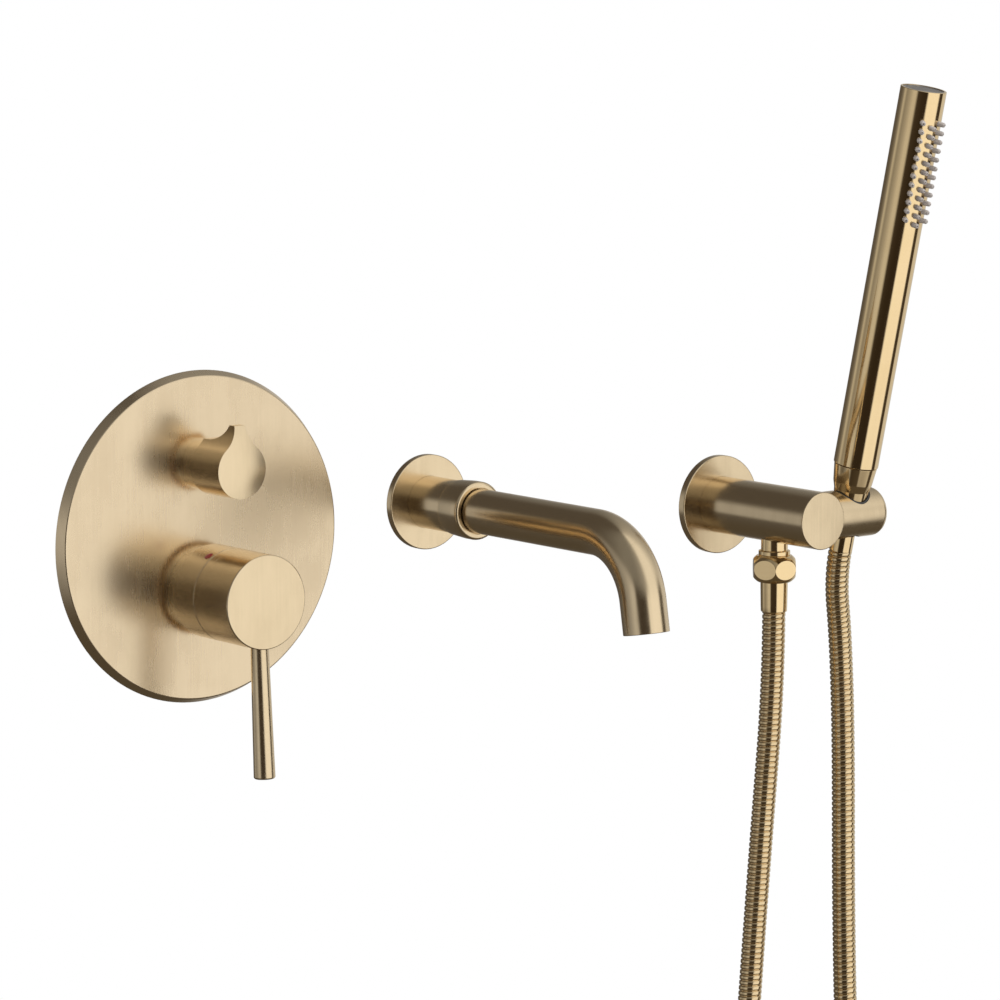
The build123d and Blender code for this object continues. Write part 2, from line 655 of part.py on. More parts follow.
def hose_path():
    """Straight runs joined by tangent arcs, each as large as its two runs allow."""
    points = [Vector(*p) for p in HOSE_ROUTE]
    radii = []
    for before, corner, after in zip(points, points[1:], points[2:]):
        turn = (corner - before).get_angle(after - corner)
        run = min((corner - before).length, (after - corner).length)
        radii.append(0.45 * run / tan(radians(turn / 2)))
    print("hose runs", [round((b - a).length) for a, b in zip(points, points[1:])])
    print("hose radii", [round(r) for r in radii])
    return FilletPolyline(*points, radius=radii)


def shower_hose():
    """The hose as a plain tube along its whole route."""
    path = hose_path()
    tube = sweep(Plane(origin=path @ 0, z_dir=path % 0) * Circle(HOSE_R), path=path)
    straight = pi * HOSE_R**2 * path.length
    print("hose length", round(path.length, 1), "volume ratio", round(tube.volume / straight, 4))
    return tube


# ---- hand shower -------------------------------------------------------------------------
def upper_ferrule():
    """Short ferrule on the hose's upper end, which the cone nut turns on."""
    outline = [(4.5, -22.95), (7.2, -22.95), (7.2, -13.0), (6.0, -12.6), (6.0, -5.0), (4.5, -5.0)]
    return on_shower(outline)


def cone_nut():
    """Cone nut that sits in the socket and screws on the hand shower."""
    slope = (SOCKET_MOUTH_R - SOCKET_FOOT_R) / 30.0
    middle = (SOCKET_MOUTH_R + SOCKET_FOOT_R) / 2 - CLEAR
    low, high = CONE_FOOT + 4, 15.5
    outline = [
        (6.3, low), (middle + slope * low, low), (middle + slope * high, high), (11.9, CONE_SHOULDER + 1),
        (13.2, CONE_TOP), (9.55, CONE_TOP), (9.55, 4.0), (6.3, 4.0),
    ]
    return on_shower(outline)


def cone_washer():
    """Rubber washer between the hose and the hand shower."""
    return on_shower(ring(9.3, 6.35, 4.05, 6.0))


def shower_radius(along):
    """The hand shower's outer radius, that far along its axis."""
    share = (along - CONE_TOP) / (SHOWER_TOP - CONE_TOP)
    return SHOWER_FOOT_R + (SHOWER_TOP_R - SHOWER_FOOT_R) * share


def nozzles():
    """The place of each nozzle: distance along the axis, and turn about it in degrees."""
    first = SHOWER_TOP - NOZZLE_FIRST
    places = []
    for row in range(NOZZLE_ROWS):
        for side in (-1, 1):
            places.append((first - row * NOZZLE_PITCH, side * NOZZLE_TURN))
        places.append((first - (row + 0.5) * NOZZLE_PITCH, 0.0))
    return places


def nozzle_rod(along, turn, radius, tip_radius, low, high):
    """A tapered rod square to the hand shower's axis, at a nozzle's place."""
    forward = Vector(0, -1, 0)
    forward = (forward - SHOWER_AXIS * forward.dot(SHOWER_AXIS)).normalized()
    sideways = SHOWER_AXIS.cross(forward) * -1
    turn += NOZZLE_FACE_TURN
    way = forward * cos(radians(turn)) + sideways * sin(radians(turn))
    outline = [(0, low), (radius, low), (tip_radius, high), (0, high)]
    return lathe(outline, shower_point(along), way)


def handset_tube():
    """Slim tapered tube with a hole for each nozzle and a threaded foot."""
    foot, top = CONE_TOP + 0.5, SHOWER_TOP
    outline = [
        (8.2, 8.0), (9.5, 8.0), (9.5, CONE_TOP + 0.1), (SHOWER_FOOT_R, foot), (SHOWER_TOP_R, top),
        (SHOWER_TOP_R - SHOWER_WALL, top), (SHOWER_FOOT_R - SHOWER_WALL, foot + 3), (8.2, foot + 3),
    ]
    tube = on_shower(outline, {3: 0.3, 4: 0.25})
    holes = [
        nozzle_rod(along, turn, NOZZLE_R + FIT, NOZZLE_R + FIT, 10.0, 18.0) for along, turn in nozzles()
    ]
    return tube - holes


def handset_cap():
    """Flat end cap pressed in the top of the tube."""
    top = SHOWER_TOP - 0.3
    outline = [(0, top - 5), (12.2, top - 5), (12.4, top), (0, top)]
    return on_shower(outline, {2: 0.3})


def nozzle_strip():
    """Silicone strip inside the tube, with its nozzles standing out through the holes."""
    low = SHOWER_TOP - NOZZLE_FIRST - NOZZLE_ROWS * NOZZLE_PITCH - 1.5
    high = SHOWER_TOP - NOZZLE_FIRST + 4.5
    inside = shower_radius(low) - SHOWER_WALL - 0.15
    strip = on_shower(ring(inside, inside - 1.6, low, high))
    middle = shower_point((low + high) / 2)
    keep = Plane(origin=middle, x_dir=(1, 0, 0), z_dir=SHOWER_AXIS) * (Pos(0, -20, 0) * Box(21, 40, 200))
    strip = strip & keep
    for along, turn in nozzles():
        reach = shower_radius(along) + NOZZLE_OUT
        strip += nozzle_rod(along, turn, NOZZLE_R, NOZZLE_R - 0.35, inside - 1.0, reach)
    for along, turn in nozzles():
        strip -= nozzle_rod(along, turn, 0.45, 0.45, 6.0, 30.0)
    return strip


def water_tube():
    """Plastic water tube inside the hand shower, from its foot to the nozzle chamber."""
    high = SHOWER_TOP - NOZZLE_FIRST - NOZZLE_ROWS * NOZZLE_PITCH - 8
    return on_shower(ring(8.1, 6.6, 12.0, high))


def handset_filter():
    """Round filter screen in the hand shower's foot."""
    screen = on_shower(disc(8.1, 8.2, 10.0))
    for count, radius in ((1, 0.0), (6, 3.2), (10, 6.0)):
        for step in range(count):
            turn = 2 * pi * step / count
            centre = Plane(origin=shower_point(9), z_dir=SHOWER_AXIS)
            screen -= centre * (Pos(radius * cos(turn), radius * sin(turn), 0) * Cylinder(0.8, 4))
    return screen


NODES = {
    "wall_plate": wall_plate,
    "plate_gasket": plate_gasket,
    "valve_body": valve_body,
    "mounting_strap": mounting_strap,
    "strap_screws": strap_screws,
    "mixer_sleeve": mixer_sleeve,
    "mixer_sleeve_seal": lambda: o_ring(MIXER, BARREL_R + 1.0, SEAL_THICK, SEAL_Y),
    "cartridge_housing": cartridge_housing,
    "fixed_ceramic_disc": fixed_disc,
    "cartridge_nut": cartridge_nut,
    "moving_ceramic_disc": moving_disc,
    "cartridge_rotor": cartridge_rotor,
    "tilt_pin": lambda: rod(1.5, (MIXER[0] - 12.5, TILT_Y, MIXER[1]), (MIXER[0] + 12.5, TILT_Y, MIXER[1])),
    "cartridge_stem": cartridge_stem,
    "handle_skirt": handle_skirt,
    "skirt_grub_screw": skirt_grub_screw,
    "index_plug": index_plug,
    "handle_cap": handle_cap,
    "lever_rod": lever,
    "diverter_sleeve": diverter_sleeve,
    "diverter_sleeve_seal": lambda: o_ring(KNOB, 13.2, SEAL_THICK, SEAL_Y),
    "diverter_cartridge": diverter_cartridge,
    "diverter_stem": diverter_stem,
    "diverter_knob": diverter_knob,
    "knob_grub_screw": knob_grub_screw,
    "spout_nipple": lambda: wall_nipple(SPOUT, -12.0),
    "spout_flange": spout_flange,
    "spout_sleeve": spout_sleeve,
    "collar_nut": collar_nut,
    "spout_tube": spout_tube,
    "spout_tube_seal": lambda: o_ring(SPOUT, TUBE_R - 0.5, SEAL_THICK, TUBE_SEAL_Y),
    "spout_grub_screw": lambda: spout_screw(2.0, TUBE_R + FIT, SPOUT_SLEEVE_R - 0.3),
    "aerator_housing": aerator_housing,
    "aerator_insert": aerator_insert,
    "bracket_nipple": lambda: wall_nipple(BRACKET, -12.0),
    "bracket_flange": bracket_flange,
    "bracket_body": bracket_body,
    "socket_barrel": socket_barrel,
    "socket_liner": socket_liner,
    "outlet_nipple": outlet_nipple,
    "hose_washer": hose_washer,
    "hose_nut": hose_nut,
    "lower_ferrule": lower_ferrule,
    "shower_hose": shower_hose,
    "upper_ferrule": upper_ferrule,
    "cone_nut": cone_nut,
    "cone_washer": cone_washer,
    "handset_tube": handset_tube,
    "handset_cap": handset_cap,
    "nozzle_strip": nozzle_strip,
    "water_tube": water_tube,
    "handset_filter": handset_filter,
}

os.makedirs("parts", exist_ok=True)
for name, make in NODES.items():
    shape = make()
    print(f"{name}: {len(shape.solids())} solid(s), {shape.volume:.0f} mm3", flush=True)
    export_step(shape, f"parts/{name}.step")
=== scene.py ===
"""Wall mounted bath mixer with its spout and hand shower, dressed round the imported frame.

Every size below is in millimetres, in the frame's own axes: X runs along the wall to the right,
-Y leaves the wall and +Z is up. Meshes are made in metres, with the object at the origin.
"""

import json
import logging
from collections.abc import Sequence
from dataclasses import dataclass, field
from enum import Enum
from math import cos, pi, radians, sin

import bmesh
import bpy
from mathutils import Matrix, Vector

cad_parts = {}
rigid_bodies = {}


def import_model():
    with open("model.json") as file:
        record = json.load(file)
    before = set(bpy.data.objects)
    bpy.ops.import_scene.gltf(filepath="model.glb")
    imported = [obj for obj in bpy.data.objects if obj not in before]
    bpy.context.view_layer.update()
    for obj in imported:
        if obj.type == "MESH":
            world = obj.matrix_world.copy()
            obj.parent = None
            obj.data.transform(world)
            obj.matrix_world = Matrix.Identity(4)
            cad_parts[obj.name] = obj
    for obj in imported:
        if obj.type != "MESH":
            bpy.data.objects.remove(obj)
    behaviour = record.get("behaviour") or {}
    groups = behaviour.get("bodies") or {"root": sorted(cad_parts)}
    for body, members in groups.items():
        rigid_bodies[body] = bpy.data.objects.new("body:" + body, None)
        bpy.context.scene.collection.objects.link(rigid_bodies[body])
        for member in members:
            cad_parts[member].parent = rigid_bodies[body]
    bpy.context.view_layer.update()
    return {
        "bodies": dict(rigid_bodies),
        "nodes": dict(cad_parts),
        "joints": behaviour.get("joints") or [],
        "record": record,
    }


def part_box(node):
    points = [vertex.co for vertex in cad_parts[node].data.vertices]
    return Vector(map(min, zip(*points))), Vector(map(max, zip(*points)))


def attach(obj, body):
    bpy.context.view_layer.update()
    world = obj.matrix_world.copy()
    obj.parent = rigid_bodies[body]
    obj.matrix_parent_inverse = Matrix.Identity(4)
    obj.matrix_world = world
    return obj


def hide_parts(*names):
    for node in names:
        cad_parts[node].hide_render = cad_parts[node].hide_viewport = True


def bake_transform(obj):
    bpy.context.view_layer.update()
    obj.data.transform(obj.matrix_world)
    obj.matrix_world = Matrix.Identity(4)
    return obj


logging.basicConfig(level=logging.INFO, format="%(levelname)s %(message)s")
log = logging.getLogger("bath_mixer")

MM = 0.001
SMOOTH_UP_TO = radians(32.0)      # edges sharper than this stay crisp
CLEAR = 0.3                       # between bodies that move
FIT = 0.05                        # between pieces of one body

Point = tuple[float, float, float]
Outline = Sequence[tuple[float, float]]
Colour = tuple[float, float, float]


class Turning(Enum):
    """The line a piece is turned about, pointing away from its seat."""

    OUT = (0.0, -1.0, 0.0)
    ACROSS = (1.0, 0.0, 0.0)
    DOWN = (0.0, 0.0, -1.0)
    SHOWER = (0.051, -0.181, 0.982)

    @property
    def way(self) -> Vector:
        """The direction as a unit vector."""
        return Vector(self.value).normalized()


@dataclass(frozen=True)
class Spindle:
    """A turning line: a point on it in millimetres, and its direction."""

    origin: Point
    way: Vector

    def matrix(self) -> Matrix:
        """Place of the spindle's own axes (local Z along it) in the frame.

        Returns:
            A matrix from local millimetres to the frame's millimetres.
        """
        z = self.way.normalized()
        side = Vector((1, 0, 0)) if abs(z.x) < 0.9 else Vector((0, 1, 0))
        x = (side - z * side.dot(z)).normalized()
        y = z.cross(x)
        placed = Matrix((x, y, z)).transposed().to_4x4()
        placed.translation = Vector(self.origin)
        return placed


def wall_spindle(centre: tuple[float, float]) -> Spindle:
    """A spindle square to the wall through a point (X, Z) of it."""
    return Spindle((centre[0], 0.0, centre[1]), Turning.OUT.way)


# ---- mesh making -------------------------------------------------------------------------
def to_piece(name: str, bm: bmesh.types.BMesh, place: Matrix, even: bool = True) -> bpy.types.Object:
    """Close a bmesh, place it and link it as an object at the origin.

    Args:
        name: The piece's name.
        bm: The shape in local millimetres; it is freed.
        place: From local millimetres to the frame's millimetres.
        even: Whether flat faces keep a flat shade beside their rounded edges.

    Returns:
        The new object.
    """
    bmesh.ops.remove_doubles(bm, verts=bm.verts, dist=1e-4)
    bmesh.ops.dissolve_degenerate(bm, dist=1e-5, edges=bm.edges)
    bmesh.ops.recalc_face_normals(bm, faces=bm.faces)
    bmesh.ops.transform(bm, matrix=Matrix.Scale(MM, 4) @ place, verts=bm.verts)
    mesh = bpy.data.meshes.new(name)
    bm.to_mesh(mesh)
    bm.free()
    piece = bpy.data.objects.new(name, mesh)
    bpy.context.scene.collection.objects.link(piece)
    shade(piece, even)
    return piece


def shade(piece: bpy.types.Object, even: bool) -> None:
    """Smooth a piece's shading up to its crisp edges.

    Args:
        piece: The piece.
        even: Whether a weighted normal modifier keeps flat faces flat.
    """
    piece.data.shade_smooth()
    piece.data.set_sharp_from_angle(angle=SMOOTH_UP_TO)
    if even:
        keep = piece.modifiers.new("even shade", "WEIGHTED_NORMAL")
        keep.keep_sharp = True
        keep.weight = 80


def round_ring(bm: bmesh.types.BMesh, corner: tuple[float, float], width: float, steps: int) -> None:
    """Round the ring-shaped edge at one corner of a turned outline.

    Args:
        bm: The turned shape, with its axis along Z.
        corner: The corner's radius and height.
        width: How far the rounding reaches on both sides.
        steps: Faces across the rounding.
    """
    def at_corner(vert: bmesh.types.BMVert) -> bool:
        return abs(vert.co.xy.length - corner[0]) < 2e-3 and abs(vert.co.z - corner[1]) < 2e-3

    ring = [e for e in bm.edges if all(at_corner(v) for v in e.verts)]
    bmesh.ops.bevel(
        bm, geom=ring, offset=width, offset_type="OFFSET", segments=steps, profile=0.5,
        affect="EDGES", clamp_overlap=True, material=-1)


def turned_shape(outline: Outline, rounded: dict[int, float] | None, steps: int) -> bmesh.types.BMesh:
    """Spin an outline of (radius, height) corners into a closed shape.

    Args:
        outline: The corners in order; it closes on itself, or on the axis.
        rounded: Rounding width by corner number.
        steps: Divisions round the axis.

    Returns:
        The shape, with its axis along Z.
    """
    bm = bmesh.new()
    verts = [bm.verts.new((r, 0.0, h)) for r, h in outline]
    pairs = list(zip(verts, verts[1:] + verts[:1]))
    edges = [bm.edges.new(p) for p in pairs if p[0].co.x > 1e-6 or p[1].co.x > 1e-6]
    bmesh.ops.spin(
        bm, geom=verts + edges, cent=(0, 0, 0), axis=(0, 0, 1), dvec=(0, 0, 0),
        angle=2 * pi, steps=steps, use_merge=True, use_duplicate=False)
    bmesh.ops.remove_doubles(bm, verts=bm.verts, dist=1e-4)
    bmesh.ops.recalc_face_normals(bm, faces=bm.faces)
    for index, width in (rounded or {}).items():
        round_ring(bm, outline[index], width, 3 if width < 1.0 else 6)
    return bm


def turned(name: str, outline: Outline, spindle: Spindle, rounded: dict[int, float] | None = None,
           steps: int = 96) -> bpy.types.Object:
    """Turn a piece on its spindle.

    Args:
        name: The piece's name.
        outline: (radius, height) corners along the spindle.
        spindle: The turning line.
        rounded: Rounding width by corner number.
        steps: Divisions round the axis.

    Returns:
        The piece.
    """
    return to_piece(name, turned_shape(outline, rounded, steps), spindle.matrix())


def from_wall(outline: Outline) -> list[tuple[float, float]]:
    """Heights along a wall spindle for an outline given as (radius, Y)."""
    return [(r, -y) for r, y in outline]


def ring_outline(outer: float, inner: float, low: float, high: float) -> list[tuple[float, float]]:
    """The outline of a plain ring or tube."""
    return [(inner, low), (outer, low), (outer, high), (inner, high)]


def rod_between(name: str, radius: float, start: Vector, end: Vector, steps: int = 48) -> bpy.types.Object:
    """A plain rod between two points, for cutting holes.

    Args:
        name: The rod's name.
        radius: Its radius.
        start: One end, in millimetres.
        end: The other end.
        steps: Divisions round it.

    Returns:
        The rod.
    """
    run = Vector(end) - Vector(start)
    outline = [(0, 0), (radius, 0), (radius, run.length), (0, run.length)]
    return turned(name, outline, Spindle(tuple(start), run.normalized()), steps=steps)


def drilled(piece: bpy.types.Object, cutters: Sequence[bpy.types.Object]) -> bpy.types.Object:
    """Cut holes in a piece, and take the cutters away.

    Args:
        piece: The piece, which gets a new mesh.
        cutters: Closed shapes to take out of it.

    Returns:
        The same piece.
    """
    piece.modifiers.clear()
    for cutter in cutters:
        cutter.modifiers.clear()
        cut = piece.modifiers.new("cut", "BOOLEAN")
        cut.operation = "DIFFERENCE"
        cut.solver = "EXACT"
        cut.object = cutter
    bpy.context.view_layer.update()
    shaped = piece.evaluated_get(bpy.context.evaluated_depsgraph_get())
    mesh = bpy.data.meshes.new_from_object(shaped)
    mesh.name = piece.name
    piece.modifiers.clear()
    piece.data = mesh
    for cutter in cutters:
        bpy.data.objects.remove(cutter)
    mesh.materials.clear()
    shade(piece, True)
    return piece


def joined(bm_parts: Sequence[tuple[bmesh.types.BMesh, Matrix]]) -> bmesh.types.BMesh:
    """Put placed copies of several shapes in one bmesh.

    Args:
        bm_parts: Pairs of a shape and its place; the shapes are kept.

    Returns:
        One bmesh with them all.
    """
    whole = bmesh.new()
    for part, place in bm_parts:
        mesh = bpy.data.meshes.new("part")
        part.to_mesh(mesh)
        mesh.transform(place)
        whole.from_mesh(mesh)
        bpy.data.meshes.remove(mesh)
    return whole


def softened(node: bpy.types.Object, name: str, width: float, sharp: float = 35.0,
             segments: int = 2) -> bpy.types.Object:
    """A copy of a node with its flat facets merged and its sharp edges rounded.

    Args:
        node: The node.
        name: The new piece's name.
        width: Rounding width in millimetres.
        sharp: Edges sharper than this many degrees are rounded.
        segments: Faces across the rounding.

    Returns:
        The piece.
    """
    bm = bmesh.new()
    bm.from_mesh(node.data)
    bmesh.ops.transform(bm, matrix=Matrix.Scale(1 / MM, 4), verts=bm.verts)
    bmesh.ops.remove_doubles(bm, verts=bm.verts, dist=2e-3)
    bmesh.ops.dissolve_limit(
        bm, angle_limit=radians(1.5), use_dissolve_boundaries=False, verts=bm.verts, edges=bm.edges,
        delimit=set())
    bmesh.ops.recalc_face_normals(bm, faces=bm.faces)
    edges = [e for e in bm.edges if e.is_manifold and e.calc_face_angle(0.0) > radians(sharp)]
    bmesh.ops.bevel(
        bm, geom=edges, offset=width, offset_type="OFFSET", segments=segments, profile=0.5,
        affect="EDGES", clamp_overlap=True, material=-1)
    return to_piece(name, bm, Matrix.Identity(4))


# ---- shader groups -----------------------------------------------------------------------
class Graph:
    """A node tree with short calls for adding and wiring nodes."""

    def __init__(self, tree: bpy.types.NodeTree) -> None:
        """Args: tree: The node tree to work in."""
        self.tree = tree

    def add(self, kind: str, **settings: object) -> bpy.types.Node:
        """Add a node.

        Args:
            kind: The node's type name.
            **settings: Its properties.

        Returns:
            The node.
        """
        node = self.tree.nodes.new(kind)
        for key, value in settings.items():
            setattr(node, key, value)
        return node

    def put(self, node: bpy.types.Node, socket: str | int, value: object) -> None:
        """Set an input to a value, or wire it to an output socket."""
        entry = node.inputs[socket]
        if isinstance(value, bpy.types.NodeSocket):
            self.tree.links.new(value, entry)
        else:
            entry.default_value = value

    def math(self, kind: str, first: object, second: object = 0.0, third: object = 0.0,
             clamp: bool = False) -> bpy.types.NodeSocket:
        """A Math node on values or sockets.

        Args:
            kind: The operation.
            first: First operand.
            second: Second operand.
            third: Third operand, for operations that have one.
            clamp: Whether the result stays within 0 to 1.

        Returns:
            The result's socket.
        """
        node = self.add("ShaderNodeMath", operation=kind, use_clamp=clamp)
        for index, value in enumerate((first, second, third)):
            self.put(node, index, value)
        return node.outputs[0]

    def scaled(self, vector: object, factors: Point) -> bpy.types.NodeSocket:
        """A vector times a factor for each axis."""
        node = self.add("ShaderNodeVectorMath", operation="MULTIPLY")
        self.put(node, 0, vector)
        self.put(node, 1, factors)
        return node.outputs[0]

    def noise(self, vector: object, scale: object, detail: float = 3.0,
              roughness: float = 0.6) -> bpy.types.NodeSocket:
        """A three-dimensional noise.

        Args:
            vector: Where it is read.
            scale: Its scale.
            detail: Octaves.
            roughness: How strong the finer octaves are.

        Returns:
            Its value socket, about 0.5 on average.
        """
        node = self.add("ShaderNodeTexNoise", noise_dimensions="3D")
        self.put(node, "Vector", vector)
        self.put(node, "Scale", scale)
        self.put(node, "Detail", detail)
        self.put(node, "Roughness", roughness)
        return node.outputs[0]

    def ranged(self, value: object, low: float, high: float, to_low: object = 0.0,
               to_high: object = 1.0) -> bpy.types.NodeSocket:
        """A value moved smoothly from one range to another.

        Args:
            value: The value.
            low: Start of its range.
            high: End of its range.
            to_low: Result at the start.
            to_high: Result at the end.

        Returns:
            The result's socket.
        """
        node = self.add("ShaderNodeMapRange", interpolation_type="SMOOTHSTEP")
        for index, part in enumerate((value, low, high, to_low, to_high)):
            self.put(node, index, part)
        return node.outputs[0]

    def mixed(self, share: object, first: object, second: object, kind: str = "MIX") -> bpy.types.NodeSocket:
        """Two colours mixed.

        Args:
            share: How much of the second.
            first: The first colour.
            second: The second colour.
            kind: The blend type.

        Returns:
            The colour's socket.
        """
        node = self.add("ShaderNodeMix", data_type="RGBA", blend_type=kind)
        self.put(node, 0, share)
        self.put(node, 6, first)
        self.put(node, 7, second)
        return node.outputs[2]


class Groups:
    """The shader node groups that several finishes share, each built once."""

    def __init__(self) -> None:
        """Build every group."""
        self.lines = self._lines()
        self.handling = self._handling()
        self.dust = self._dust()
        self.grain = self._grain()

    @staticmethod
    def _new(name: str, entries: dict[str, tuple[str, object]], exits: dict[str, str]
             ) -> tuple[bpy.types.NodeTree, Graph, bpy.types.Node, bpy.types.Node]:
        """Start a group with named sockets.

        Args:
            name: The group's name.
            entries: Socket type and default by input name.
            exits: Socket type by output name.

        Returns:
            The tree, its graph, its input node and its output node.
        """
        tree = bpy.data.node_groups.new(name, "ShaderNodeTree")
        for label, (kind, default) in entries.items():
            socket = tree.interface.new_socket(name=label, in_out="INPUT", socket_type=kind)
            if default is not None:
                socket.default_value = default
        for label, kind in exits.items():
            tree.interface.new_socket(name=label, in_out="OUTPUT", socket_type=kind)
        graph = Graph(tree)
        return tree, graph, graph.add("NodeGroupInput"), graph.add("NodeGroupOutput")

    def _lines(self) -> bpy.types.NodeTree:
        """Polishing lines: round the sides of a turned piece and straight over its faces."""
        tree, g, entry, out = self._new(
            "polishing_lines",
            {"Place": ("NodeSocketVector", None), "Facing": ("NodeSocketFloat", 0.0),
             "Fineness": ("NodeSocketFloat", 1.0)},
            {"Height": "NodeSocketFloat", "Streaks": "NodeSocketFloat"})
        place, fine = entry.outputs["Place"], entry.outputs["Fineness"]
        flat = g.math("SMOOTH_MIN", entry.outputs["Facing"], 1.0, 0.05)
        around = g.noise(g.scaled(place, (26.0, 26.0, 2600.0)), fine, 4.0, 0.7)
        across = g.noise(g.scaled(place, (2600.0, 26.0, 26.0)), fine, 4.0, 0.7)
        broad_around = g.noise(g.scaled(place, (12.0, 12.0, 900.0)), fine, 2.0)
        broad_across = g.noise(g.scaled(place, (900.0, 12.0, 12.0)), fine, 2.0)
        height = g.math("ADD", g.math("MULTIPLY", around, g.math("SUBTRACT", 1.0, flat)),
                        g.math("MULTIPLY", across, flat))
        streaks = g.math("ADD", g.math("MULTIPLY", broad_around, g.math("SUBTRACT", 1.0, flat)),
                         g.math("MULTIPLY", broad_across, flat))
        g.put(out, "Height", height)
        g.put(out, "Streaks", g.ranged(streaks, 0.28, 0.72))
        return tree

    def _handling(self) -> bpy.types.NodeTree:
        """Soft patches where a surface has been wiped and handled."""
        tree, g, entry, out = self._new(
            "handling", {"Place": ("NodeSocketVector", None), "Patch": ("NodeSocketFloat", 30.0)},
            {"Mask": "NodeSocketFloat", "Specks": "NodeSocketFloat"})
        place, patch = entry.outputs["Place"], entry.outputs["Patch"]
        cloud = g.noise(place, patch, 5.0, 0.62)
        wiped = g.noise(g.scaled(place, (1.0, 1.0, 0.25)), g.math("MULTIPLY", patch, 3.2), 3.0)
        patches = g.math("MULTIPLY_ADD", wiped, 0.4, g.math("MULTIPLY", cloud, 0.6))
        g.put(out, "Mask", g.ranged(patches, 0.36, 0.66))
        fine = g.noise(place, g.math("MULTIPLY", patch, 60.0), 2.0, 0.5)
        g.put(out, "Specks", g.ranged(fine, 0.68, 0.74))
        return tree

    def _dust(self) -> bpy.types.NodeTree:
        """A thin veil of dust that settles on faces that look up."""
        tree, g, entry, out = self._new(
            "settled_dust", {"Place": ("NodeSocketVector", None), "Up": ("NodeSocketFloat", 0.0)},
            {"Mask": "NodeSocketFloat"})
        veil = g.noise(entry.outputs["Place"], 140.0, 4.0, 0.7)
        up = g.ranged(entry.outputs["Up"], 0.35, 0.95)
        g.put(out, "Mask", g.math("MULTIPLY", up, g.ranged(veil, 0.42, 0.75)))
        return tree

    def _grain(self) -> bpy.types.NodeTree:
        """An even pebbled skin, as on a casting or a moulding."""
        tree, g, entry, out = self._new(
            "skin_grain",
            {"Place": ("NodeSocketVector", None), "Scale": ("NodeSocketFloat", 900.0),
             "Coarse": ("NodeSocketFloat", 0.5)},
            {"Height": "NodeSocketFloat", "Pits": "NodeSocketFloat"})
        place, scale = entry.outputs["Place"], entry.outputs["Scale"]
        cells = g.add("ShaderNodeTexVoronoi", feature="SMOOTH_F1")
        g.put(cells, "Vector", place)
        g.put(cells, "Scale", scale)
        rough = g.noise(place, g.math("MULTIPLY", scale, 0.35), 5.0, 0.65)
        coarse = entry.outputs["Coarse"]
        height = g.math("ADD", g.math("MULTIPLY", rough, coarse),
                        g.math("MULTIPLY", cells.outputs["Distance"], g.math("SUBTRACT", 1.0, coarse)))
        g.put(out, "Height", height)
        g.put(out, "Pits", g.ranged(rough, 0.3, 0.45, 1.0, 0.0))
        return tree


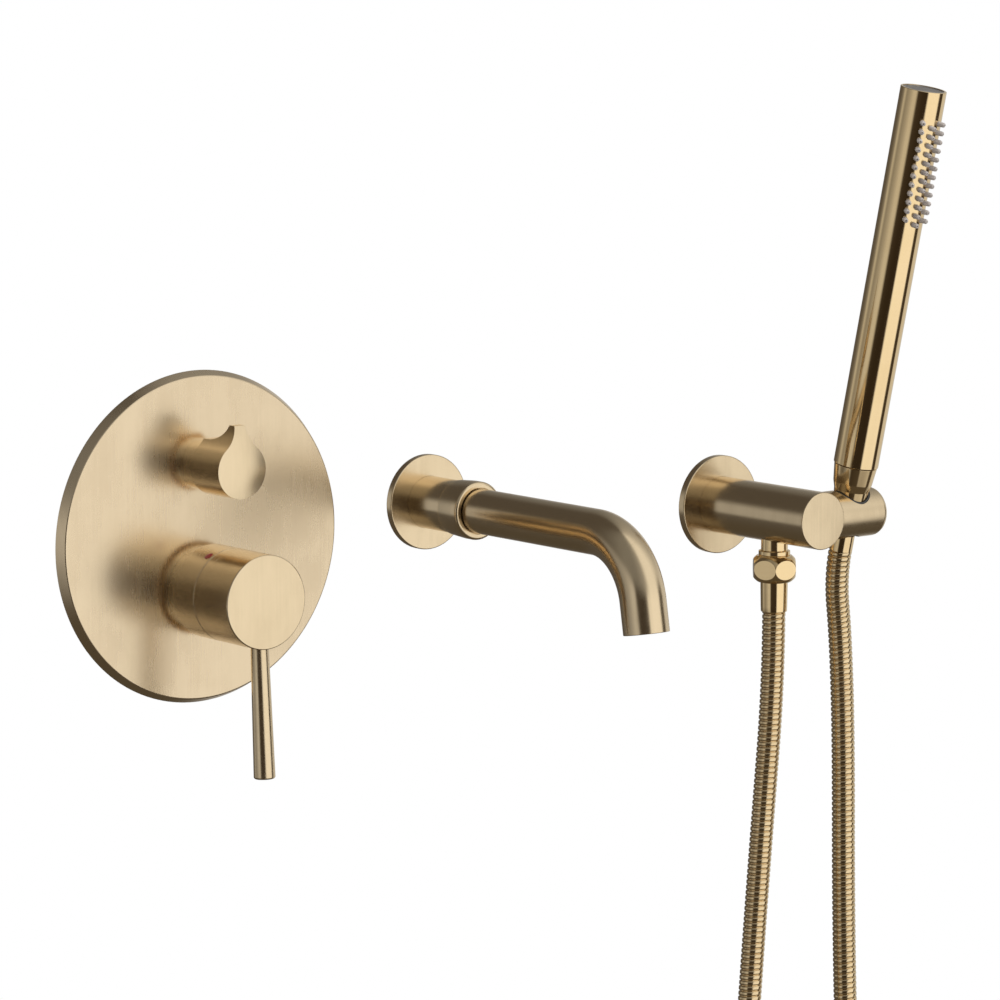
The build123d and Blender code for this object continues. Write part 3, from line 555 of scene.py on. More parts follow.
# ---- finishes ----------------------------------------------------------------------------
@dataclass(frozen=True)
class MetalFinish:
    """A polished, brushed or cast metal."""

    name: str
    slot: str
    tint: Colour
    shade: Colour             # in the lines and patches
    roughness: float
    spread: float             # how much the roughness changes over the surface
    line_depth: float = 0.0   # of the polishing lines, in millimetres
    fineness: float = 1.0
    cast_depth: float = 0.0   # of the cast skin, in millimetres
    cast_scale: float = 900.0

    def material(self, groups: Groups, turning: Turning | None) -> bpy.types.Material:
        """The material for pieces turned about one direction.

        Args:
            groups: The shared groups.
            turning: The direction, or None for a flat piece with lines up and down it.

        Returns:
            The material, made on the first call.
        """
        label = f"{self.name}_{turning.name.lower() if turning else 'flat'}"
        if label in bpy.data.materials:
            return bpy.data.materials[label]
        material = bpy.data.materials.new(label)
        material.use_nodes = True
        material.node_tree.nodes.clear()
        g = Graph(material.node_tree)
        coordinates = g.add("ShaderNodeTexCoord")
        turn = g.add("ShaderNodeMapping", vector_type="POINT")
        turn_normal = g.add("ShaderNodeMapping", vector_type="POINT")
        way = turning.way if turning else Turning.OUT.way
        spin = way.rotation_difference(Vector((0, 0, 1))).to_euler()
        for node, source in ((turn, "Object"), (turn_normal, "Normal")):
            g.put(node, "Vector", coordinates.outputs[source])
            node.inputs["Rotation"].default_value = spin
        split = g.add("ShaderNodeSeparateXYZ")
        g.put(split, 0, turn_normal.outputs[0])
        facing = g.ranged(g.math("ABSOLUTE", split.outputs[2]), 0.75, 0.9) if turning else 1.0
        lines = g.add("ShaderNodeGroup", node_tree=groups.lines)
        g.put(lines, "Place", turn.outputs[0])
        g.put(lines, "Facing", facing)
        g.put(lines, "Fineness", self.fineness)
        handled = g.add("ShaderNodeGroup", node_tree=groups.handling)
        g.put(handled, "Place", coordinates.outputs["Object"])
        g.put(handled, "Patch", 26.0)
        up = g.add("ShaderNodeSeparateXYZ")
        g.put(up, 0, coordinates.outputs["Normal"])
        dust = g.add("ShaderNodeGroup", node_tree=groups.dust)
        g.put(dust, "Place", coordinates.outputs["Object"])
        g.put(dust, "Up", up.outputs[2])

        uneven = g.math("MULTIPLY_ADD", lines.outputs["Streaks"], 0.3,
                        g.math("MULTIPLY", handled.outputs["Mask"], 0.7))
        colour = g.mixed(uneven, (*self.tint, 1.0), (*self.shade, 1.0))
        low, high = self.roughness - self.spread, self.roughness + self.spread
        rough = g.ranged(uneven, 0.0, 1.0, low, high)
        rough = g.math("MULTIPLY_ADD", dust.outputs["Mask"], 0.05, rough)
        height, depth = lines.outputs["Height"], self.line_depth
        if self.cast_depth > 0.0:
            skin = g.add("ShaderNodeGroup", node_tree=groups.grain)
            g.put(skin, "Place", coordinates.outputs["Object"])
            g.put(skin, "Scale", self.cast_scale)
            g.put(skin, "Coarse", 0.55)
            height, depth = skin.outputs["Height"], self.cast_depth
            dark = tuple(part * 0.45 for part in self.shade)
            colour = g.mixed(g.math("MULTIPLY", skin.outputs["Pits"], 0.6), colour, (*dark, 1.0))
        bump = g.add("ShaderNodeBump")
        g.put(bump, "Height", height)
        g.put(bump, "Strength", 1.0)
        g.put(bump, "Distance", depth * MM)
        shader = g.add("ShaderNodeBsdfPrincipled")
        g.put(shader, "Base Color", colour)
        g.put(shader, "Metallic", 1.0)
        g.put(shader, "Roughness", rough)
        g.put(shader, "Normal", bump.outputs[0])
        out = g.add("ShaderNodeOutputMaterial")
        g.put(out, "Surface", shader.outputs[0])
        return material


@dataclass(frozen=True)
class MouldedFinish:
    """A plastic, rubber, silicone or ceramic."""

    name: str
    slot: str
    tint: Colour
    shade: Colour
    roughness: float
    grain_scale: float = 1200.0
    grain_depth: float = 0.01
    see_through: float = 0.0
    sheen: float = 0.0

    def material(self, groups: Groups, turning: Turning | None = None) -> bpy.types.Material:
        """The material.

        Args:
            groups: The shared groups.
            turning: Not used by a moulding; it has no polishing lines.

        Returns:
            The material, made on the first call.
        """
        if self.name in bpy.data.materials:
            return bpy.data.materials[self.name]
        material = bpy.data.materials.new(self.name)
        material.use_nodes = True
        material.node_tree.nodes.clear()
        g = Graph(material.node_tree)
        coordinates = g.add("ShaderNodeTexCoord")
        handled = g.add("ShaderNodeGroup", node_tree=groups.handling)
        g.put(handled, "Place", coordinates.outputs["Object"])
        g.put(handled, "Patch", 60.0)
        skin = g.add("ShaderNodeGroup", node_tree=groups.grain)
        g.put(skin, "Place", coordinates.outputs["Object"])
        g.put(skin, "Scale", self.grain_scale)
        g.put(skin, "Coarse", 0.4)
        colour = g.mixed(handled.outputs["Mask"], (*self.tint, 1.0), (*self.shade, 1.0))
        colour = g.mixed(g.math("MULTIPLY", handled.outputs["Specks"], 0.25), colour, (0.5, 0.48, 0.44, 1.0))
        bump = g.add("ShaderNodeBump")
        g.put(bump, "Height", skin.outputs["Height"])
        g.put(bump, "Strength", 1.0)
        g.put(bump, "Distance", self.grain_depth * MM)
        shader = g.add("ShaderNodeBsdfPrincipled")
        g.put(shader, "Base Color", colour)
        g.put(shader, "Metallic", 0.0)
        g.put(shader, "Roughness", g.ranged(handled.outputs["Mask"], 0.0, 1.0, self.roughness * 0.85,
                                            min(1.0, self.roughness * 1.2)))
        g.put(shader, "Transmission Weight", self.see_through)
        g.put(shader, "Sheen Weight", self.sheen)
        g.put(shader, "Normal", bump.outputs[0])
        out = g.add("ShaderNodeOutputMaterial")
        g.put(out, "Surface", shader.outputs[0])
        return material


Finish = MetalFinish | MouldedFinish

SATIN_GOLD = MetalFinish("satin_gold", "brushed_gold", (0.84, 0.69, 0.48), (0.80, 0.65, 0.445), 0.27, 0.03,
                         line_depth=0.0022)
TURNED_GOLD = MetalFinish(
    "turned_gold", "brushed_gold", (0.84, 0.685, 0.46), (0.80, 0.645, 0.425), 0.22, 0.03, line_depth=0.0016)
BRIGHT_GOLD = MetalFinish(
    "bright_gold", "polished_gold", (0.93, 0.72, 0.42), (0.90, 0.685, 0.385), 0.10, 0.025, line_depth=0.0007)
HOSE_GOLD = MetalFinish("hose_gold", "hose_gold", (0.87, 0.70, 0.44), (0.80, 0.62, 0.37), 0.17, 0.04,
                        line_depth=0.0006)
CAST_BRASS = MetalFinish("cast_brass", "raw_brass", (0.72, 0.52, 0.25), (0.55, 0.38, 0.17), 0.46, 0.08,
                         cast_depth=0.12, cast_scale=700.0)
ZINC_STEEL = MetalFinish("zinc_steel", "steel", (0.62, 0.62, 0.60), (0.48, 0.48, 0.47), 0.33, 0.07,
                         line_depth=0.002)
GREY_METAL = MetalFinish("grey_metal", "grey_metal", (0.50, 0.48, 0.45), (0.42, 0.40, 0.38), 0.35, 0.06,
                         line_depth=0.0015)
BLACK_RUBBER = MouldedFinish(
    "black_rubber", "black_rubber", (0.022, 0.022, 0.023), (0.034, 0.033, 0.032), 0.62,
    1400.0, 0.03, sheen=0.08)
BLACK_PLASTIC = MouldedFinish(
    "black_plastic", "black_plastic", (0.030, 0.028, 0.026), (0.042, 0.040, 0.037), 0.42)
WHITE_PLASTIC = MouldedFinish("white_plastic", "white_plastic", (0.78, 0.77, 0.73), (0.70, 0.69, 0.65), 0.38)
CERAMIC = MouldedFinish("lapped_ceramic", "ceramic", (0.86, 0.85, 0.82), (0.80, 0.79, 0.76), 0.16,
                        2000.0, 0.002)
INDEX_RED = MouldedFinish("index_red", "index_red", (0.11, 0.030, 0.020), (0.08, 0.022, 0.015), 0.36)
SILICONE = MouldedFinish("nozzle_silicone", "silicone", (0.62, 0.57, 0.54), (0.54, 0.49, 0.46), 0.34,
                         1600.0, 0.004, see_through=0.25, sheen=0.05)
BY_SLOT: dict[str, Finish] = {
    finish.slot: finish
    for finish in (TURNED_GOLD, BRIGHT_GOLD, HOSE_GOLD, CAST_BRASS, ZINC_STEEL, GREY_METAL, BLACK_RUBBER,
                   BLACK_PLASTIC, WHITE_PLASTIC, CERAMIC, INDEX_RED, SILICONE)
}


# ---- sub-assemblies ----------------------------------------------------------------------
@dataclass
class Assembly:
    """What every sub-assembly shares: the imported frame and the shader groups."""

    frame: dict
    groups: Groups

    def dress(self, piece: bpy.types.Object, finish: Finish, turning: Turning | None, body: str,
              *nodes: str) -> bpy.types.Object:
        """Give a piece its finish, its body and the nodes it stands for.

        Args:
            piece: The piece.
            finish: Its finish.
            turning: The direction of its polishing lines.
            body: The body it rides on.
            *nodes: The nodes it replaces.

        Returns:
            The same piece.
        """
        piece.data.materials.clear()
        piece.data.materials.append(finish.material(self.groups, turning))
        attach(piece, body)
        if nodes:
            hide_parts(*nodes)
        log.info("%s on %s, %d faces", piece.name, body, len(piece.data.polygons))
        return piece


@dataclass
class PlateGroup(Assembly):
    """The round plate with its tapered rim and the holes for both sleeves."""

    rim_radius: float = 94.5
    face_radius: float = 91.5
    face_y: float = -6.0
    wall: float = 2.5
    rim: float = 3.0
    mixer: tuple[float, float] = (0.0, -29.0)
    mixer_hole: float = 22.8
    knob: tuple[float, float] = (0.0, 42.0)
    knob_hole: float = 13.2

    def build(self) -> None:
        """Make the plate from its two faces, its rim and the walls of its holes."""
        front, back = -self.face_y, -self.face_y - self.wall
        outline = [(self.face_radius, front), (self.rim_radius, 0.0), (self.rim_radius - self.rim, 0.0),
                   (self.face_radius - self.wall, back)]
        bm = bmesh.new()
        verts = [bm.verts.new((r, 0.0, h)) for r, h in outline]
        edges = [bm.edges.new(pair) for pair in zip(verts, verts[1:])]
        bmesh.ops.spin(
            bm, geom=verts + edges, cent=(0, 0, 0), axis=(0, 0, 1), dvec=(0, 0, 0),
            angle=2 * pi, steps=192, use_merge=True, use_duplicate=False)
        bmesh.ops.remove_doubles(bm, verts=bm.verts, dist=1e-4)
        holes = []
        for (x, z), radius in ((self.mixer, self.mixer_hole), (self.knob, self.knob_hole)):
            pair = []
            for height in (front, back):
                made = bmesh.ops.create_circle(
                    bm, cap_ends=False, segments=96, radius=radius,
                    matrix=Matrix.Translation((x, z, height)))["verts"]
                pair.append(list({e for v in made for e in v.link_edges}))
            holes.append(pair)
        for side, height in enumerate((front, back)):
            rim = [e for e in bm.edges if e.is_boundary and all(abs(v.co.z - height) < 1e-3 for v in e.verts)]
            loops = rim + [e for pair in holes for e in pair[side]]
            bmesh.ops.triangle_fill(bm, use_beauty=True, use_dissolve=False, edges=loops, normal=(0, 0, 1))
        for pair in holes:
            bmesh.ops.bridge_loops(bm, edges=pair[0] + pair[1])
        bmesh.ops.recalc_face_normals(bm, faces=bm.faces)
        round_ring(bm, outline[0], 0.7, 4)
        round_ring(bm, outline[1], 0.35, 2)
        plate = to_piece("wall_plate_shell", bm, wall_spindle((0.0, 0.0)).matrix())
        self.dress(plate, SATIN_GOLD, None, "root", "wall_plate")


@dataclass
class Mixer(Assembly):
    """The sleeve, the handle that turns and lifts, its rod and its index plug."""

    centre: tuple[float, float] = (0.0, -29.0)
    sleeve_radius: float = 24.5
    sleeve_bore: float = 22.55
    sleeve_y: tuple[float, float] = (-6.05, -13.5)
    radius: float = 26.5
    skirt_y: float = -14.0
    skirt_bore: float = 25.0
    web_y: float = -24.5
    seam_y: float = -34.5
    groove: float = 0.6
    face_y: float = -67.0
    spigot: float = 13.0
    rod_set_back: float = 8.4
    rod_lean: float = 3.0
    rod_radii: tuple[float, float] = (4.9, 6.1)
    rod_reach: float = 99.5
    plug_radius: float = 2.55

    def build(self) -> None:
        """Make the mixer's shown pieces."""
        spindle = wall_spindle(self.centre)
        seam, radius = self.seam_y, self.radius
        sleeve = turned("mixer_sleeve_ring", from_wall(
            ring_outline(self.sleeve_radius, self.sleeve_bore, self.sleeve_y[0], self.sleeve_y[1])),
            spindle, {2: 0.5}, 128)
        self.dress(sleeve, TURNED_GOLD, Turning.OUT, "root", "mixer_sleeve")

        skirt_outline = from_wall([
            (4.9, seam - 7), (self.spigot, seam - 7), (self.spigot, seam), (radius, seam),
            (radius, self.skirt_y), (self.skirt_bore, self.skirt_y), (self.skirt_bore, self.web_y),
            (8.5, self.web_y), (8.5, -19.0), (4.9, -19.0)])
        skirt = turned("handle_skirt_ring", skirt_outline, spindle, {3: 0.35, 4: 0.35}, 128)
        low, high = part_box("index_plug")
        plug_centre = (low + high) / 2 / MM
        axis_point = Vector((self.centre[0], plug_centre.y, self.centre[1]))
        out = (plug_centre - axis_point).normalized()
        top = axis_point + out * radius
        skirt = drilled(skirt, [rod_between("cut", self.plug_radius + FIT, top - out * 5.0, top + out)])
        self.dress(skirt, TURNED_GOLD, Turning.OUT, "mixer_handle", "handle_skirt")

        r = self.plug_radius
        plug = turned("index_plug_dome", [(0, -4.9), (r, -4.9), (r, 0.05), (r * 0.8, 0.2), (r * 0.45, 0.3),
                                          (0, 0.34)],
                      Spindle(tuple(top), out), {2: 0.08}, 32)
        self.dress(plug, INDEX_RED, None, "mixer_handle", "index_plug")

        cap_outline = from_wall([
            (0, self.face_y), (radius, self.face_y), (radius, seam - self.groove),
            (radius - 0.7, seam - self.groove), (radius - 0.7, seam), (self.spigot + FIT, seam),
            (self.spigot + FIT, seam - 7.1), (20.0, seam - 10), (20.0, self.face_y + 17),
            (0, self.face_y + 17)])
        cap = turned("handle_cap_turned", cap_outline, spindle, {1: 0.7, 2: 0.25}, 128)
        start, way, length = self._rod_line()
        socket = rod_between("cut", self.rod_radii[0] + FIT + 0.12, start - way * 0.05, start + way * 22.0)
        cap = drilled(cap, [socket])
        self.dress(cap, TURNED_GOLD, Turning.OUT, "mixer_handle", "handle_cap")

        root, tip = self.rod_radii
        rod = turned("lever_rod_turned", [(0, 0), (root, 0), (tip, length), (0, length)],
                     Spindle(tuple(start), way), {2: 1.3}, 64)
        self.dress(rod, TURNED_GOLD, Turning.DOWN, "mixer_handle", "lever_rod")

    def _rod_line(self) -> tuple[Vector, Vector, float]:
        """The rod's start, direction and length in millimetres."""
        lean = radians(self.rod_lean)
        way = Vector((0, -sin(lean), -cos(lean)))
        start = Vector((self.centre[0], self.face_y + self.rod_set_back, self.centre[1])) + way * 14
        return start, way, self.rod_reach / cos(lean) - 14


@dataclass
class Diverter(Assembly):
    """The short sleeve and the knob with its thumb tab."""

    centre: tuple[float, float] = (0.0, 42.0)
    sleeve_radius: float = 14.4
    sleeve_bore: float = 12.0
    sleeve_y: tuple[float, float] = (-6.05, -16.9)
    radius: float = 16.0
    back_y: float = -17.4
    face_y: float = -46.0
    tab_reach: float = 25.0
    tab_half: float = 3.4
    touch: float = 40.0
    dome: float = 90.0
    tab_depth: float = 8.5     # from the face's middle back to the tab's end
    bore: float = 4.55

    def build(self) -> None:
        """Make the sleeve and the knob."""
        spindle = wall_spindle(self.centre)
        sleeve = turned("diverter_sleeve_ring", from_wall(
            ring_outline(self.sleeve_radius, self.sleeve_bore, *self.sleeve_y)), spindle, {2: 0.4})
        self.dress(sleeve, TURNED_GOLD, Turning.OUT, "root", "diverter_sleeve")
        self.dress(self._knob(spindle), TURNED_GOLD, Turning.OUT, "diverter", "diverter_knob")

    def _tab_side(self) -> list[tuple[float, float]]:
        """Points of the hollow curve from the round part up to the tab's corner."""
        turn = radians(self.touch)
        start = Vector((self.radius * sin(turn), self.radius * cos(turn)))
        along = Vector((-cos(turn), sin(turn)))
        end = Vector((self.tab_half, self.tab_reach))
        span = end - start
        normal = Vector((-along.y, along.x))
        radius = span.length_squared / (2 * span.dot(normal))
        middle = start + normal * radius
        first = (start - middle)
        swing = first.angle_signed(end - middle)
        points = []
        for step in range(1, 13):
            turned_by = Matrix.Rotation(-swing * step / 12, 2)
            points.append(tuple(middle + turned_by @ first))
        return points

    def _knob(self, spindle: Spindle) -> bpy.types.Object:
        """The knob: its outline drawn out, domed in front and hollowed behind the tab.

        Args:
            spindle: The knob's own axis.

        Returns:
            The knob.
        """
        side = self._tab_side()
        touch = radians(self.touch)
        arc_steps = 84
        arc = []
        for step in range(arc_steps + 1):
            turn = -touch - (2 * pi - 2 * touch) * step / arc_steps
            arc.append((self.radius * sin(turn), self.radius * cos(turn)))
        outline = [*arc, *side, *[(-x, y) for x, y in reversed(side)]]
        back, front = -self.back_y, -self.face_y
        bm = bmesh.new()
        face = bm.faces.new([bm.verts.new((x, y, back)) for x, y in outline])
        drawn = bmesh.ops.extrude_face_region(bm, geom=[face])
        lifted = [v for v in drawn["geom"] if isinstance(v, bmesh.types.BMVert)]
        bmesh.ops.translate(bm, verts=lifted, vec=(0, 0, front - back))
        bmesh.ops.recalc_face_normals(bm, faces=bm.faces)
        for axis, reach in ((0, 16), (1, 25)):
            for offset in range(-15, reach, 3):
                normal = Vector((1, 0, 0)) if axis == 0 else Vector((0, 1, 0))
                top = [f for f in bm.faces if all(abs(v.co.z - front) < 1e-3 for v in f.verts)]
                geom = top + list({e for f in top for e in f.edges}) + list({v for f in top for v in f.verts})
                bmesh.ops.bisect_plane(bm, geom=geom, dist=1e-4, plane_co=normal * offset, plane_no=normal)
        for vert in [v for v in bm.verts if abs(v.co.z - front) < 1e-3]:
            vert.co.z -= self.dome - (self.dome**2 - vert.co.xy.length_squared)**0.5
        rim = [e for e in bm.edges if len(e.link_faces) == 2 and e.calc_face_angle(0.0) > radians(60)
               and min(v.co.z for v in e.verts) > front - 6]
        bmesh.ops.bevel(
            bm, geom=rim, offset=0.55, offset_type="OFFSET", segments=3, profile=0.5,
            affect="EDGES", clamp_overlap=True, material=-1)
        knob = to_piece("diverter_knob_turned", bm, spindle.matrix())
        shadow = self._hollow(spindle)
        recess = turned("cut", from_wall([(0, self.back_y + 1), (self.sleeve_radius + 0.3, self.back_y + 1),
                                          (self.sleeve_radius + 0.3, self.back_y - 1), (0, self.back_y - 1)]),
                        spindle)
        bore = turned("cut", from_wall([(0, -16), (self.bore, -16), (self.bore, -36.2), (0, -36.2)]), spindle,
                      steps=48)
        return drilled(knob, [shadow, recess, bore])

    def _hollow(self, spindle: Spindle) -> bpy.types.Object:
        """The space behind the tab, which falls away to the round part in a hollow curve.

        Args:
            spindle: The knob's own axis.

        Returns:
            A cutter for the knob.
        """
        back = -self.face_y - self.tab_depth
        start, middle = Vector((back, self.tab_reach)), Vector((back - 6.3, 18.4))
        end = Vector((-self.back_y + 4, self.radius))
        points = []
        for step in range(17):
            share = step / 16
            control = middle * 2 - (start + end) / 2
            points.append(start * (1 - share)**2 + control * 2 * share * (1 - share) + end * share**2)
        low, high = self.radius, self.tab_reach + 1.5
        corners = [(-self.back_y - 2, low), (-self.back_y - 2, high), (back, high), *points]
        bm = bmesh.new()
        face = bm.faces.new([bm.verts.new((-20.0, y, z)) for z, y in corners])
        drawn = bmesh.ops.extrude_face_region(bm, geom=[face])
        moved = [v for v in drawn["geom"] if isinstance(v, bmesh.types.BMVert)]
        bmesh.ops.translate(bm, verts=moved, vec=(40.0, 0, 0))
        return to_piece("cut", bm, spindle.matrix(), even=False)


@dataclass
class Spout(Assembly):
    """The cover flange, the sleeve, the collar and the bent tube."""

    centre: tuple[float, float] = (161.3, 6.0)
    flange_radius: float = 28.0
    flange_thick: float = 4.5
    sleeve_radius: float = 15.5
    seam_y: float = -33.0
    collar_radius: float = 17.0
    collar_y: float = -52.0
    tube_radius: float = 13.0
    tube_wall: float = 1.5
    tube_start: float = -22.1
    bend_radius: float = 41.0
    bend_turn: float = 80.0
    leg: float = 18.0
    reach: float = 201.0

    def build(self) -> None:
        """Make the spout's shown pieces."""
        spindle = wall_spindle(self.centre)
        seam = self.seam_y
        flange = turned("spout_flange_turned", from_wall(
            ring_outline(self.flange_radius, self.sleeve_radius + FIT, 0, -self.flange_thick)),
            spindle, {2: 0.7, 1: 0.3})
        self.dress(flange, TURNED_GOLD, Turning.OUT, "root", "spout_flange")
        inner = self.tube_radius + FIT
        sleeve = turned("spout_sleeve_turned", from_wall([
            (10.05, -0.3), (self.sleeve_radius, -0.3), (self.sleeve_radius, seam), (14.6, seam),
            (14.6, seam - 7), (inner, seam - 7), (inner, -22.0), (8.0, -22.0), (8.0, -12.05),
            (10.05, -12.05)]), spindle, {2: 0.35})
        hole_top = Vector((self.centre[0], -27.0, self.centre[1] - self.tube_radius + 0.4))
        sleeve = drilled(sleeve, [rod_between("cut", 2.05, hole_top, hole_top - Vector((0, 0, 5)), 24)])
        self.dress(sleeve, TURNED_GOLD, Turning.OUT, "root", "spout_sleeve")
        collar_back, front = seam - 0.4, self.collar_y
        collar = turned("spout_collar_turned", from_wall([
            (14.65, collar_back), (self.collar_radius - 0.8, collar_back), (self.collar_radius, front + 7),
            (self.collar_radius, front), (self.tube_radius + 0.7, front), (self.tube_radius + 0.7, front + 4),
            (inner, front + 4), (inner, seam - 7.1), (14.65, seam - 7.1)]), spindle, {1: 0.35, 3: 1.8})
        self.dress(collar, TURNED_GOLD, Turning.OUT, "root", "collar_nut")
        self.dress(self._tube(), TURNED_GOLD, Turning.OUT, "root", "spout_tube")

    def _tube(self) -> bpy.types.Object:
        """The bent tube: two concentric circles drawn out, spun round the bend and drawn out again.

        Returns:
            The tube.
        """
        turn = radians(self.bend_turn)
        run = self.bend_radius * sin(turn) + self.leg * cos(turn)
        straight_end = -(self.reach - run)
        x, z = self.centre
        bm = bmesh.new()
        ends = []
        for radius in (self.tube_radius, self.tube_radius - self.tube_wall):
            place = Matrix.Translation((x, self.tube_start, z)) @ Matrix.Rotation(radians(90), 4, "X")
            circle = bmesh.ops.create_circle(
                bm, cap_ends=False, segments=96, radius=radius, matrix=place)["verts"]
            first = list({e for v in circle for e in v.link_edges})
            edge_loop = self._drawn(bm, first, Vector((0, straight_end - self.tube_start, 0)))
            spun = bmesh.ops.spin(
                bm, geom=edge_loop + list({v for e in edge_loop for v in e.verts}),
                cent=(x, straight_end, z - self.bend_radius), axis=(1, 0, 0), dvec=(0, 0, 0),
                angle=turn, steps=40, use_merge=False, use_duplicate=False)["geom_last"]
            edge_loop = [e for e in spun if isinstance(e, bmesh.types.BMEdge)]
            last = self._drawn(bm, edge_loop, Vector((0, -cos(turn), -sin(turn))) * self.leg)
            ends.append((first, last))
        bmesh.ops.bridge_loops(bm, edges=ends[0][0] + ends[1][0])
        bmesh.ops.bridge_loops(bm, edges=ends[0][1] + ends[1][1])
        bmesh.ops.recalc_face_normals(bm, faces=bm.faces)
        lip = [e for e in ends[0][1] + ends[1][1] if e.is_valid]
        bmesh.ops.bevel(
            bm, geom=lip, offset=0.45, offset_type="OFFSET", segments=3, profile=0.5,
            affect="EDGES", clamp_overlap=True, material=-1)
        return to_piece("spout_tube_bent", bm, Matrix.Identity(4))

    @staticmethod
    def _drawn(bm: bmesh.types.BMesh, edges: list, run: Vector) -> list:
        """Draw a loop of edges out along a straight run.

        Args:
            bm: The shape.
            edges: The loop.
            run: The move.

        Returns:
            The loop at the far end.
        """
        made = bmesh.ops.extrude_edge_only(bm, edges=edges)["geom"]
        bmesh.ops.translate(bm, verts=[v for v in made if isinstance(v, bmesh.types.BMVert)], vec=run)
        return [e for e in made if isinstance(e, bmesh.types.BMEdge)]


@dataclass
class Bracket(Assembly):
    """The hand shower's wall bracket: flange, round body, cross barrel, outlet and hose nut."""

    centre: tuple[float, float] = (389.0, -15.4)
    flange_radius: float = 30.5
    flange_thick: float = 5.0
    radius: float = 17.5
    face_y: float = -98.0
    outlet_y: float = -54.5
    barrel_radius: float = 15.0
    barrel_y: float = -82.5
    barrel_end: float = 444.5
    socket_x: float = 423.0
    mouth: float = 10.9
    foot: float = 8.6
    liner: float = 1.2
    nipple: float = 8.2

    def build(self) -> None:
        """Make the bracket's shown pieces."""
        spindle = wall_spindle(self.centre)
        flange = turned("bracket_flange_turned", from_wall(
            ring_outline(self.flange_radius, self.radius + FIT, 0, -self.flange_thick)),
            spindle, {2: 0.7, 1: 0.3})
        self.dress(flange, TURNED_GOLD, Turning.OUT, "root", "bracket_flange")
        x, z = self.centre
        body = turned("bracket_body_turned", from_wall([
            (0, self.face_y), (self.radius, self.face_y), (self.radius, -0.3), (10.05, -0.3), (10.05, -12.05),
            (8.0, -12.05), (8.0, -64.0), (0, -64.0)]), spindle, {1: 0.7})
        outlet = Vector((x, self.outlet_y, z))
        barrel_axis = Vector((x, self.barrel_y, z))
        down, across = Vector((0, 0, -1)), Vector((1, 0, 0))
        body = drilled(body, [
            rod_between("cut", self.nipple - 1.2, outlet, outlet + down * 30),
            rod_between("cut", 4.05, barrel_axis + across * 8.5, barrel_axis + across * 30, 32)])
        self.dress(body, TURNED_GOLD, Turning.OUT, "root", "bracket_body")
        self.dress(self._barrel(), TURNED_GOLD, Turning.ACROSS, "root", "socket_barrel")

        drop = Spindle(tuple(outlet), down)
        n = self.nipple
        nipple = turned("outlet_nipple_turned", [
            (4.5, 13.0), (n, 13.0), (n, 22.4), (n + 1.5, 22.8), (n + 1.5, 25.2), (n + 1.3, 25.6),
            (n + 1.3, 35.0),
            (4.5, 35.0)], drop, {3: 0.25, 4: 0.25}, 64)
        wall_side = Vector((x, 0, z))
        nipple = drilled(nipple, [rod_between(
            "cut", self.radius + FIT, wall_side, wall_side + Turning.OUT.way * 98, 128)])
        self.dress(nipple, BRIGHT_GOLD, Turning.DOWN, "root", "outlet_nipple")
        nut = softened(self.frame["nodes"]["hose_nut"], "hose_nut_hex", 0.3, 24.0)
        self.dress(nut, BRIGHT_GOLD, Turning.DOWN, "root", "hose_nut")
        ferrule = turned("hose_ferrule_turned", [
            (4.5, 37.05), (9.3, 37.05), (9.3, 38.5), (7.45, 38.5), (7.45, 42.0), (8.4, 42.3), (8.15, 57.0),
            (8.0, 60.6), (4.5, 60.6)], drop, {7: 0.5}, 64)
        self.dress(ferrule, BRIGHT_GOLD, Turning.DOWN, "root", "lower_ferrule")

    def _barrel(self) -> bpy.types.Object:
        """The cross barrel, fitted to the body and bored for the hand shower's cone.

        Returns:
            The barrel.
        """
        x, z = self.centre
        length = self.barrel_end - x
        across = Spindle((x, self.barrel_y, z), Turning.ACROSS.way)
        barrel = turned("socket_barrel_turned", [
            (0, 0), (self.barrel_radius, 0), (self.barrel_radius, length), (0, length)], across, {2: 4.0})
        slope = (self.mouth - self.foot) / 30.0
        middle = (self.mouth + self.foot) / 2 + self.liner
        cone = turned("cut", [(0, -24), (middle - slope * 24, -24), (middle + slope * 24, 24), (0, 24)],
                      Spindle((self.socket_x, self.barrel_y, z), Turning.SHOWER.way))
        body = rod_between(
            "cut", self.radius + FIT, Vector((x, -40, z)), Vector((x, self.face_y - 1, z)), 128)
        return drilled(barrel, [body, cone])


